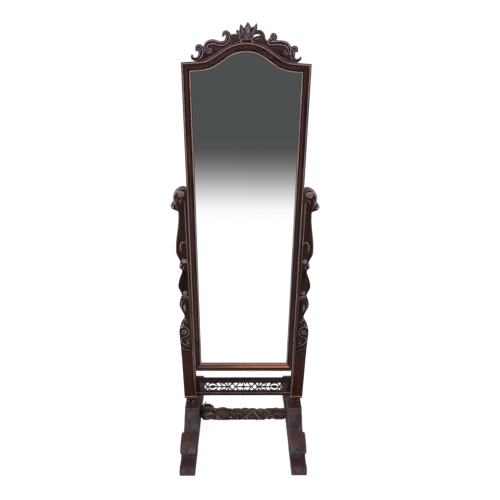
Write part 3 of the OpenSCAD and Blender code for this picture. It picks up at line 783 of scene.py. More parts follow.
@dataclass
class TiltingFrame:
    """Sizes shared by everything that tilts, in millimetres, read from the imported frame."""

    rest_lean: float = 4.0
    member: float = 31.0
    bottom: float = 38.0
    crown_share: float = 0.66
    hollow_share: float = 0.45
    shoulder_share: float = 0.28
    flank: float = math.radians(33)
    shoulder: float = math.radians(4)
    thickness: float = 30.0
    glass_lip: float = 10.0
    glass_t: float = 4.0
    glass_cover: float = 6.0
    ledge: float = 8.0

    def __post_init__(self) -> None:
        """Reads the frame's width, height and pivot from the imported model."""
        low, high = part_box("frame_stile_right")
        self.half_w = high.x / MM
        self.crown_r = self.crown_share * self.half_w
        self.hollow_r = self.hollow_share * self.half_w
        self.shoulder_len = self.shoulder_share * self.half_w
        joint = frame["joints"][0]
        self.pivot = np.array(joint["pos_m"]) / MM
        lean = math.radians(self.rest_lean)
        half_t = self.thickness / 2
        self.z_bottom = (low.z / MM - self.pivot[2] + half_t * math.sin(lean)) / math.cos(lean)
        self.z_shoulder = (high.z / MM - self.pivot[2] - half_t * math.sin(lean)) / math.cos(lean)
        self.front = -half_t

    def to_row(self, verts: Points) -> Points:
        """Leans points from the upright frame, measured from the pivot, to where they rest.

        Args:
            verts: Points with the pivot as their origin.

        Returns:
            Points in the row frame.
        """
        a = math.radians(self.rest_lean)
        y = verts[:, 1] * math.cos(a) + verts[:, 2] * math.sin(a)
        z = -verts[:, 1] * math.sin(a) + verts[:, 2] * math.cos(a)
        return np.stack([verts[:, 0], y, z], axis=1) + self.pivot

    def lean(self, obj: bpy.types.Object) -> None:
        """Leans a finished upright piece into place."""
        set_points(obj, self.to_row(copy_points(obj)))

    def head_half(self, o: float, n: int = 18) -> Points:
        """Right half of the head line, inset by o, from the corner to the crown.

        Args:
            o: Inset from the frame's outer edge.
            n: Steps along each arc.

        Returns:
            Points in X and Z, heights from the shoulders.
        """
        s = np.array([self.half_w - self.shoulder_len, self.shoulder_len * math.tan(self.shoulder)])
        c2 = s + self.hollow_r * np.array([math.sin(self.shoulder), math.cos(self.shoulder)])
        e = c2 - self.hollow_r * np.array([math.sin(self.flank), math.cos(self.flank)])
        top = e[1] + (e[0] - self.crown_r * math.sin(self.flank)) * math.tan(self.flank)
        c1 = np.array([0, top - self.crown_r * math.cos(self.flank)])
        corner = np.array([self.half_w - o, -o * (1 - math.sin(self.shoulder)) / math.cos(self.shoulder)])
        a = np.linspace(self.shoulder, self.flank, n + 1)
        hollow = c2 - (self.hollow_r + o) * np.stack([np.sin(a), np.cos(a)], axis=1)
        a = np.linspace(self.flank, 0, n + 1)
        crown = c1 + (self.crown_r - o) * np.stack([np.sin(a), np.cos(a)], axis=1)
        flat = corner + (hollow[0] - corner) * np.linspace(0, 1, 9)[:-1, None]
        return np.vstack([flat, hollow, crown])

    def head_line(self, o: float, n: int = 18) -> Points:
        """Whole head line from the left corner to the right corner, heights from the pivot."""
        half = self.head_half(o, n) + [0, self.z_shoulder]
        left = half * [-1, 1]
        return np.vstack([left, half[::-1][1:]])

    def head_z(self, x: Points) -> Points:
        """Height of the head line above the pivot at x."""
        line = self.head_line(0)
        return np.interp(x, line[:, 0], line[:, 1])

    def bottom_z(self, o: float) -> float:
        """Height of the bottom line above the pivot, inset by o."""
        return self.z_bottom + o * self.bottom / self.member


@dataclass
class FrameMoulding:
    """The four moulded members of the mirror frame, mitred at the corners."""

    tilt: TiltingFrame
    mitre_gap: float = 0.12

    def section(self) -> Points:
        """Moulded section as inset from the outer edge and depth, front first.

        Returns:
            Points of the closed section.
        """
        f = self.tilt.front
        m = self.tilt.member

        def bead(o: float, r: float, y: float, n: int = 9) -> list[tuple[float, float]]:
            """Half-round bead centred at an inset."""
            return [(o - r * math.cos(a), y - r * math.sin(a)) for a in np.linspace(0.12, math.pi - 0.12, n)]

        pts: list[tuple[float, float]] = [
            (0.0, -f - 0.6), (0.0, f + 2.6), (0.5, f + 1.6), (1.6, f + 1.2), (2.9, f + 1.9)]
        pts += bead(4.9, 1.9, f + 2.0) + [(6.9, f + 4.0), (7.3, f + 5.6)]
        pts += [(7.6 + 5.2 * t, f + 5.8 - 1.2 * math.sin(math.pi * t) * 0.5 - 1.6 * t * t)
                for t in np.linspace(0, 1, 7)]
        pts += bead(17.6, 4.6, f + 4.8, 15) + [(22.5, f + 6.4), (23.0, f + 8.0), (25.2, f + 8.0), (25.6, f + 6.6)]
        pts += bead(27.8, 1.9, f + 6.0)
        pts += [(m - 1.0, f + 7.4), (m, f + 8.2), (m, f + self.tilt.glass_lip)]
        rebate = m - self.tilt.glass_cover
        board = rebate - self.tilt.ledge
        glass_back = f + self.tilt.glass_lip + self.tilt.glass_t
        pts += [(rebate, f + self.tilt.glass_lip), (rebate, glass_back), (board, glass_back), (board, -f - 0.6),
                (board - 0.6, -f), (0.6, -f)]
        return np.array(pts)

    def skin(self, name: str, rows: list[Points], finish: Wood, node: str) -> bpy.types.Object:
        """Skins rings of section points and sets the piece in place.

        Args:
            name: Name of the piece.
            rows: Rings of points from the pivot.
            finish: Wood of the piece.
            node: CAD node that it stands for.

        Returns:
            The piece.
        """
        cols = len(rows[0])
        obj = new_object(name, self.tilt.to_row(np.vstack(rows)), ring_faces(len(rows), cols))
        obj.data.set_sharp_from_angle(angle=math.radians(38))
        self.mark(obj, len(rows))
        dress(obj, finish)
        place(obj, Body.MIRROR, Slot.FRAME, node)
        return obj

    def mark(self, obj: bpy.types.Object, rows: int) -> None:
        """Marks the beads of a skinned member light, as wear and painted highlight, and its quirks dark, as grime and
        painted shade.

        Args:
            obj: The member.
            rows: Rings that it was skinned from.
        """
        depth = np.array([y - self.tilt.front for _, y in self.section()])
        inset = np.array([o for o, _ in self.section()])
        # painted light: the front and its beads lighter, the deeper quirks darker as painted shade, and the bead by
        # the glass light as a painted reflection
        tone = np.interp(depth, [0, 1.2, 4.2, 6.2, 8.0], [0.95, 0.62, 0.5, 0.3, 0.08])
        tone[(inset > 12.5) & (inset < 22.2) & (depth < 3)] = 0.56
        tone[(inset > 25.9) & (inset < self.tilt.member - 0.5) & (depth < 6.2)] = 0.95
        tone[depth > 9] = 0.5
        mark_points(obj, "tone", np.tile(tone, rows))
        x = copy_points(obj)[:, 0]
        # painted light on the inner ledge, reflected from the glass, stronger towards the right; only the bottom
        # rail's finish shows it
        sill_light = np.tile(np.where(inset < 30.5, np.clip((inset - 14.5) / 3, 0, 1), 0) * (depth < 8), rows)
        mark_points(obj, "light_tint_share", sill_light * (0.25 + 0.75 / (1 + np.exp(-(x + 30) / 45))))

    def build(self) -> None:
        """Builds the two stiles, the head rail and the bottom rail."""
        t = self.tilt
        section = self.section()
        heads = [t.head_line(o) for o, _ in section]
        count = len(heads[0])
        gap = self.mitre_gap
        rows = []
        for k in range(count):
            ring = [[heads[i][k][0], y, heads[i][k][1]] for i, (_, y) in enumerate(section)]
            rows.append(np.array(ring))
        rows[0][:, 0] += gap
        rows[-1][:, 0] -= gap
        self.skin("moulded_head_rail", rows, FRAME_WOOD_ACROSS, "frame_head_rail")
        for side, label in ((-1, "left"), (1, "right")):
            rows = []
            for s in np.linspace(0, 1, 60):
                ring = []
                for i, (o, y) in enumerate(section):
                    low = t.bottom_z(o) + gap
                    high = heads[i][-1][1] - gap
                    ring.append([side * (t.half_w - o), y, low + (high - low) * s])
                rows.append(np.array(ring))
            self.skin(f"moulded_stile_{label}", rows, FRAME_WOOD, f"frame_stile_{label}")
        rows = []
        for s in np.linspace(-1, 1, 30):
            rows.append(np.array([[s * (t.half_w - o - gap), y, t.bottom_z(o)] for o, y in section]))
        self.skin("moulded_bottom_rail", rows, SILL_WOOD, "frame_bottom_rail")


@dataclass
class Glass:
    """The silvered plate, with ground edges."""

    tilt: TiltingFrame
    play: float = 0.5
    grind: float = 0.8

    def build(self) -> None:
        """Builds the plate and lays it in its rebate."""
        t = self.tilt
        edge = t.member - t.glass_cover + self.play
        front = t.front + t.glass_lip
        back = front + t.glass_t
        rings = []
        for inset, y in ((edge + 14, front), (edge + self.grind, front), (edge, front + self.grind),
                         (edge, back - self.grind), (edge + self.grind, back), (edge + 14, back)):
            line = t.head_line(inset)
            low = t.bottom_z(inset)
            outline = np.vstack([line, [line[-1][0], low], [line[0][0], low]])
            rings.append(np.stack([outline[:, 0], np.full(len(outline), y), outline[:, 1]], axis=1))
        cols = len(rings[0])
        obj = new_object("mirror_plate", t.to_row(np.vstack(rings)), ring_faces(len(rings), cols))
        obj.data.set_sharp_from_angle(angle=math.radians(20))
        dress(obj, Silvering())
        place(obj, Body.MIRROR, Slot.GLASS, "mirror_glass")


@dataclass
class Crest:
    """Scroll wings and the palmette that stand on the head rail.

    Heights in the paths are measured from the shoulders of the frame.
    """

    tilt: TiltingFrame
    step: float = 1.2
    voxel: float = 0.7
    square: float = 0.6

    def wing(self, side: int, label: str, hook: Sequence[Sequence[float]], end: Sequence[Sequence[float]],
             volute: tuple[float, float], leaves: Sequence[Sequence[Sequence[float]]]) -> None:
        """Carves one scroll wing.

        Args:
            side: 1 for the right wing and -1 for the left.
            label: Name of the side.
            hook: Path of the long scroll, from its hook to its volute.
            end: Path of the short scroll at the outer end.
            volute: Middle of the long scroll's volute.
            leaves: Paths of the small leaves beside the palmette.
        """
        t = self.tilt
        c = Carving(f"crest_scrolls_{label}")
        base = t.z_shoulder

        def pts(keys: Sequence[Sequence[float]]) -> Points:
            """Scroll path in the frame's own place."""
            p = smooth_path(keys, self.step)
            return np.stack([side * p[:, 0], p[:, 1] + base], axis=1)

        arch = np.arange(18.5, 158, 4.0)
        under = np.stack([side * arch, t.head_z(arch) - 0.2], axis=1)
        top = np.array([[18.5, 74], [30, 80], [46, 82], [58, 78], [66, 64], [90, 58], [112, 58], [128, 50],
                        [138, 38], [146, 24], [156, 12]], float)
        top = np.stack([side * top[:, 0], np.maximum(top[:, 1] + base, t.head_z(top[:, 0]) + 1.0)], axis=1)
        c.plate(np.vstack([under, top[::-1]]), -4.2, 7.5)
        c.stroke_flat(pts(hook), [3.4, 7.6, 9.4, 9.4, 8.8, 8.4, 8.6, 8.8, 8.8, 8.4, 7.4, 6.0, 4.6],
                      [7.5, 8.5, 8.8, 8.8, 8.8, 8.5, 8.2, 8.4, 8.6, 8.6, 8.4, 8, 7.5], 0.0, self.square)
        c.ball([side * hook[0][0], -3.5, base + hook[0][1]], [4.2, 5.2, 4.2])
        c.ball([side * volute[0], -4.0, base + volute[1]], [4.6, 5.0, 4.6])
        c.stroke_flat(pts(end), [3.6, 7.0, 9.4, 11.0, 11.0, 9.6, 7.8, 6.6, 5.8, 4.8, 3.6],
                      [7.5, 8.6, 8.8, 8.8, 8.6, 8.2, 7.8, 7.4], 0.0, self.square)
        c.ball([side * end[0][0], -3.0, base + end[0][1]], [4.2, 5.2, 4.2])
        rib = np.arange(20, 150, 3.0)
        c.stroke_flat(np.stack([side * rib, t.head_z(rib) + 2.6], axis=1), [2.4, 2.4, 2.2, 1.4], [6.6, 6.6, 6.0], 0.0)
        for keys in leaves:
            c.stroke_flat(pts(keys), [2.6, 6.0, 7.0, 6.0, 2.4], [7, 8.4, 8.8, 8.4, 6], 0.0, self.square)
        obj = c.fuse(self.voxel, 2)
        self.engrave(obj, side, base, hook, end)
        edge_tone(obj, 0.5)
        t.lean(obj)
        dress(obj, CREST_WOOD)
        place(obj, Body.MIRROR, Slot.CARVED, f"crest_wing_{label}")

    def engrave(self, obj: bpy.types.Object, side: int, base: float, hook: Sequence[Sequence[float]],
                end: Sequence[Sequence[float]]) -> None:
        """Cuts the hollow that runs down the middle of each scroll.

        Args:
            obj: The wing.
            side: 1 for the right wing and -1 for the left.
            base: Height of the shoulders above the pivot.
            hook: Path of the long scroll.
            end: Path of the short scroll.
        """
        cuts = []
        for keys, width, depth in ((hook[1:], 3.6, 3.4), (end[1:], 3.9, 3.2)):
            p = smooth_path(keys, 2.0)
            cuts.append(Ridge(np.stack([side * p[:, 0], p[:, 1] + base], axis=1), width, -depth, 0.6))
        v = copy_points(obj)
        facing = np.clip(-copy_normals(obj)[:, 1] * 1.6 - 0.2, 0, 1)
        v[:, 1] -= relief(cuts, v[:, 0], v[:, 2]) * facing
        set_points(obj, v)

    def palmette(self) -> None:
        """Carves the fan of petals over the crown."""
        t = self.tilt
        base = t.z_shoulder
        c = Carving("crest_palmette_carved")
        foot = np.arange(-17, 17.1, 3.4)
        outline = np.vstack([np.stack([foot, t.head_z(foot) - 0.2], axis=1),
                             [[17, base + 80], [8, base + 88], [-8, base + 88], [-17, base + 80]]])
        c.plate(outline, -5.0, 9.0)
        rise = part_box("crest_palmette")[1].z / MM - t.pivot[2] - 1.2
        top = (rise - 4.0 * math.sin(math.radians(t.rest_lean))) / math.cos(math.radians(t.rest_lean)) - base

        def petal(keys: Sequence[Sequence[float]], width: float, depth: float, y: float) -> None:
            """One pointed petal."""
            p = smooth_path(keys, 1.2) + [0, base]
            shape = [0.55, 0.85, 1.0, 1.0, 0.82, 0.36]
            c.stroke_flat(p, [width * s for s in shape], [depth * s for s in (0.9, 1.0, 1.0, 0.9, 0.8, 0.5)], y, 0.8)

        petal([[3, 76], [3.5, 88], [3.5, top - 9], [3, top - 3.5]], 11.5, 9.5, -1.0)
        petal([[-8, 76], [-12, 88], [-15, 98], [-19, top - 9]], 9.0, 9.0, -1.0)
        petal([[-15, 74], [-21, 80], [-26, 88], [-31, 95]], 8.0, 8.6, 0.0)
        petal([[12, 74], [18, 86], [25, 98], [31, top - 5]], 7.2, 9.0, -1.0)
        petal([[8, 78], [12, 90], [16, 100], [19, 106]], 5.0, 8.0, 1.5)
        for s in (-1, 1):
            c.stroke_flat(smooth_path([[s * 5, 70], [s * 14, 69], [s * 21, 72], [s * 22, 77]], 1.2) + [0, base],
                          [2.8, 3.4, 3.2, 2.2], [9, 9, 8.5, 8], -1.5)
        c.ball([2, -8.6, base + 77], [4.4, 3.2, 4.4])
        c.stroke_flat(spiral([2, 77 + base], 7.4, 7.2, 200, 0.9, 30), [1.5, 1.5], [3.6, 3.6], -8.0)
        c.ball([0, -3.0, base + 66], [15, 7, 6.0])
        obj = c.fuse(0.65, 2)
        v = copy_points(obj)
        facing = np.clip(-copy_normals(obj)[:, 1] * 1.6 - 0.2, 0, 1)
        veins = []
        for keys, width in (([[3.5, 84], [3.5, top - 6]], 1.5), ([[-10, 84], [-13.5, 94], [-16.5, top - 11]], 1.5),
                            ([[-18, 79], [-23, 86], [-28, 92]], 1.5), ([[15, 81], [22, 93], [28, top - 8]], 1.3),
                            ([[-1.5, 86], [-1.5, top - 12]], 0.9), ([[8.5, 86], [8.5, top - 12]], 0.9)):
            veins.append(Ridge(smooth_path(keys, 2) + [0, base], width, -2.6, 0.9))
        v[:, 1] -= relief(veins, v[:, 0], v[:, 2]) * facing
        set_points(obj, v)
        edge_tone(obj, 0.5)
        t.lean(obj)
        dress(obj, CREST_WOOD)
        place(obj, Body.MIRROR, Slot.CARVED, "crest_palmette")

    def build(self) -> None:
        """Carves both wings and the palmette."""
        self.wing(
            -1, "left",
            [(75, 80), (72, 86.5), (64.5, 87.5), (58.5, 80), (60, 68), (69.5, 58), (87.5, 56), (103, 60), (114, 60),
             (126, 54.5), (131.5, 43), (126, 33), (117, 33), (113.5, 39)],
            [(161, 36.5), (158, 45), (150, 45), (145.5, 36), (146, 25), (154.5, 13), (165, 9.5), (175, 13), (176, 21)],
            (117.5, 40.5),
            [[(24, 71), (33, 78), (42, 79), (50, 77), (52, 83)], [(36, 70), (45, 69), (49, 62), (45, 57)]])
        self.wing(
            1, "right",
            [(78, 80), (84, 84.5), (90, 78), (84, 70), (76, 66), (73, 60), (84, 60), (98, 60.5), (112, 60),
             (126, 57), (137, 47), (138, 35), (129, 30), (122, 34)],
            [(163, 38), (160, 45), (152.5, 45), (147.5, 36), (148.5, 24), (153, 13), (163, 9.5), (172, 13), (176, 19)],
            (124.5, 37.5),
            [[(20, 84), (32, 91), (44, 90), (54, 81), (58, 73)], [(30, 70), (41, 72), (50, 66), (46, 58)]])
        self.palmette()


# ---------------------------------------------------------------- stand


@dataclass
class ScrollPosts:
    """The two carved posts, from the scroll at the pivot down to the plain lower board.

    Places on a post are its distance from the inner face and its depth below the pivot.
    """

    scroll_r: float = 14.5
    scroll_in: float = 11.0
    head_w: float = 45.5
    head_drop: float = 17.0
    plain_w: float = 53.5
    lip_in: float = 4.0
    rows: int = 860
    cols: int = 56
    outer_wave: tuple[tuple[float, float], ...] = (
        (17, -8), (36, -9.5), (50, 2.6), (57, 0.5), (72, -24.5), (235, -6), (287, -21), (299.5, -14.5), (317, -24.5),
        (388, -6), (432, -18), (474, -5.5), (537, -23.5), (612, 3), (760, 0))

    def __post_init__(self) -> None:
        """Reads the post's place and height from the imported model."""
        low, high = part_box("post_right")
        self.xi = low.x / MM
        self.front = low.y / MM
        self.back = high.y / MM
        self.pivot_z = frame["joints"][0]["pos_m"][2] / MM
        self.z_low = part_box("collar_right")[1].z / MM
        self.z_top = high.z / MM
        a = math.radians(78)
        e = np.array([self.scroll_in + self.scroll_r * math.cos(a), -self.scroll_r * math.sin(a)])
        self.head = bezier(e, e + self.scroll_r * np.array([math.sin(a), math.cos(a)]), [self.head_w, 0],
                           [self.head_w, self.head_drop], 40)

    def width(self, drop: Points) -> Points:
        """Width of the post from its inner face at a depth below the pivot."""
        arc = self.scroll_in + np.sqrt(np.clip(self.scroll_r**2 - drop**2, 0, None))
        head = np.interp(drop, self.head[:, 1], self.head[:, 0])
        body = self.plain_w + wave(self.outer_wave, drop)
        return np.where(drop < self.head[0, 1], arc, np.where(drop < self.head_drop, head, body))

    def left_edge(self, drop: Points) -> Points:
        """Distance of the post's inner edge from its inner face, more than 0 only over the scroll."""
        arc = self.scroll_in - np.sqrt(np.clip(self.scroll_r**2 - drop**2, 0, None))
        return np.where(drop < 0, np.maximum(0, arc), 0.0)

    def carving(self) -> list[Ridge]:
        """Lines of carving on the front, as distance from the inner face and depth below the pivot.

        Returns:
            Ridges and grooves.
        """
        out: list[Ridge] = []

        def line(keys: Sequence[Sequence[float]], width: float, height: float, taper: float = 0.5) -> None:
            """One line through key points."""
            out.append(Ridge(smooth_path(keys, 1.5), width, height, taper))

        def curl(centre: tuple[float, float], r0: float, r1: float, start: float, turns: float, width: float,
                 height: float, eye: float) -> None:
            """One spiral with a round eye."""
            out.append(Ridge(spiral(centre, r0, r1, start, turns, 90), width, height, 0.2))
            out.append(Ridge(np.array([centre, (centre[0] + 0.1, centre[1] + 0.1)]), eye, height + 0.8))

        # scroll over the pivot, its rim and the small curl on the outer side
        curl((13.5, 1.5), 12.5, 6.2, 60, -1.7, 1.7, 3.4, 3.6)
        drops = np.arange(-9, 42, 2.0)
        out.append(Ridge(np.stack([self.width(drops) - 4.2, drops], axis=1), 2.6, 3.0, 0.3))
        line([(27, 12), (33, 26), (35, 44), (28, 62)], 1.6, 1.8)
        line([(8, 26), (15, 23), (19.5, 29), (19, 38)], 1.6, 2.6)
        curl((47.5, 51.5), 6.2, 3.0, 250, 0.9, 1.7, 3.8, 2.4)
        # bead down the inner edge, and a fine line down the outer edge
        drops = np.arange(30, 905, 5.0)
        out.append(Ridge(np.stack([np.full(len(drops), 3.6), drops], axis=1), 1.5, 2.6, 0.1))
        outer = np.arange(80, 296, 3.0)
        out.append(Ridge(np.stack([self.width(outer) - 3.0, outer], axis=1), 1.7, 1.8, 0.4))
        # C-scroll, boss and leaf nib
        line([(5, 196), (11, 191), (20, 193), (27, 203), (28, 218), (26, 232)], 1.8, 3.2, 0.4)
        line([(9, 208), (10, 230), (9, 252)], 1.4, -1.6, 0.6)
        curl((17.5, 273), 10.5, 4.2, 150, 1.45, 1.8, 3.6, 2.8)
        line([(26, 286), (33, 291), (37, 298), (33, 306), (25, 309)], 2.6, 3.6, 0.4)
        line([(14, 292), (22, 300), (20, 310)], 1.8, 2.4, 0.5)
        # acanthus gouges
        for k in range(9):
            d = 312 + k * 10.5
            w = float(self.width(np.array([d]))[0])
            line([(w - 3.0, d - 6), (w * 0.62, d + 3), (9.5, d + 15)], 2.1, -3.0, 0.6)
        # curl and collar band
        curl((20, 415), 9.5, 4.0, 190, 1.2, 1.8, 3.6, 2.6)
        line([(35, 426), (25, 429), (13, 432), (5, 437)], 2.2, 3.6, 0.3)
        line([(37, 436), (25, 439), (13, 443), (5, 448)], 1.5, 2.6, 0.3)
        # long drop
        line([(26, 446), (36, 458), (40, 476), (37, 498), (31, 520), (26, 532)], 1.7, 2.4, 0.5)
        line([(12, 452), (15, 480), (18, 508), (21, 530)], 1.4, -2.4, 0.6)
        line([(26, 466), (27, 484), (25, 506)], 5.0, 2.2, 0.9)
        # buds
        for x, d, r in ((28, 545, 4.6), (37, 556, 3.6), (44, 583, 4.6), (36, 571, 4.0), (21, 556, 3.6)):
            out.append(Ridge(np.array([(x, d), (x + 0.1, d)]), r, 4.2))
        # crossed C- and S-scrolls
        line([(50, 585), (40, 580), (27, 585), (17, 596), (14, 611), (20, 626), (36, 634)], 1.8, 3.2, 0.3)
        curl((36, 606), 12.5, 6.0, 10, 0.95, 1.9, 3.6, 3.0)
        line([(36, 634), (47, 640), (49, 654), (42, 668), (28, 676), (14, 684)], 1.8, 3.0, 0.3)
        line([(12, 640), (22, 650), (34, 652)], 1.6, 2.4, 0.4)
        curl((22, 664), 6.5, 3.4, 200, -1.0, 1.5, 2.6, 2.2)
        line([(50, 676), (44, 694), (30, 702), (12, 706)], 1.5, 2.2, 0.3)
        return out

    def build_one(self, side: int, label: str) -> None:
        """Builds one post as rings from its foot to the top of the volute.

        Args:
            side: 1 for the right post and -1 for the left.
            label: Name of the side.
        """
        span = self.z_top - self.z_low
        z = self.z_low + span * np.linspace(0, 1, self.rows)
        z[-1] = self.z_top - 0.02
        drop = self.pivot_z - z
        left = self.left_edge(drop)
        right = np.maximum(self.width(drop), left + 0.4)
        u = np.linspace(0, 1, self.cols)
        x = left[:, None] + (right - left)[:, None] * u[None, :]
        d = np.repeat(drop[:, None], self.cols, axis=1)
        height = relief(self.carving(), x, d)
        edge = np.minimum(x - left[:, None], right[:, None] - x)
        carved = np.clip((712 - drop) / 8.0, 0, 1)[:, None]
        reach = 2.0 + 2.2 * carved + 3.0 * np.clip((30 - drop) / 20, 0, 1)[:, None]
        round_off = reach * (1 - np.sqrt(np.clip(1 - (1 - np.clip(edge / reach, 0, 1)) ** 2, 0, 1)))
        swell = (np.exp(-((drop - 355) / 40.0) ** 2) + np.exp(-((drop - 484) / 38.0) ** 2)
                 + np.exp(-((drop + 2) / 22.0) ** 2))
        swell = 2.2 * swell[:, None] * np.sin(math.pi * u)[None, :]
        up = (z - self.z_low)[:, None]
        bead = 1.6 * np.sqrt(np.clip(1 - ((up - 14.0) / 2.4) ** 2, 0, 1))
        under = self.lip_in * np.clip(1 - up / 4.0, 0, 1) ** 0.7
        y = self.front + 4.2 * carved + 1.6 * (1 - carved) - bead + round_off - height - swell + under
        y = np.maximum(y, self.front - 0.8)
        back_y = self.back - under[:, 0] * 0.6
        # painted light and wear: carved ridges lighter and grooves darker, the flat ground darker as painted shade,
        # and the bead near the foot and every edge lighter as painted highlight
        tone = 0.5 + 0.5 * np.clip(height / 3.4, -1, 1)
        tone = tone - 0.22 * carved * (np.abs(height) < 0.05) + 0.45 * (bead / 1.6)
        tone = np.clip(tone + 0.4 * (edge < 1.2), 0.02, 1)
        rings = []
        for r in range(self.rows):
            front = np.stack([x[r], y[r], np.full(self.cols, z[r])], axis=1)
            depth = np.linspace(0, 1, 12)[1:]
            outer_y = y[r][-1] + (back_y[r] - y[r][-1]) * depth
            bulge = 0.8 * np.sin(math.pi * depth)
            outer_x = np.full(11, right[r]) + bulge * (right[r] - left[r] > 6)
            outer = np.stack([outer_x, outer_y, np.full(11, z[r])], axis=1)
            back = np.stack([np.linspace(right[r], left[r], 10)[1:], np.full(9, back_y[r]), np.full(9, z[r])], axis=1)
            inner_y = np.linspace(back_y[r], y[r][0], 8)[1:-1]
            inner = np.stack([np.full(6, left[r]), inner_y, np.full(6, z[r])], axis=1)
            rings.append(np.vstack([front, outer, back, inner]))
        verts = np.vstack(rings)
        verts[:, 0] = side * (verts[:, 0] + self.xi)
        obj = new_object(f"carved_post_{label}", verts, ring_faces(self.rows, len(rings[0])))
        obj.data.set_sharp_from_angle(angle=math.radians(50))
        mark_points(obj, "tone", np.hstack([tone, np.full((self.rows, len(rings[0]) - self.cols), 0.5)]))
        dress(obj, CARVED_WOOD)
        place(obj, Body.STAND, Slot.CARVED, f"post_{label}")

    def build(self) -> None:
        """Builds both posts."""
        self.build_one(-1, "left")
        self.build_one(1, "right")


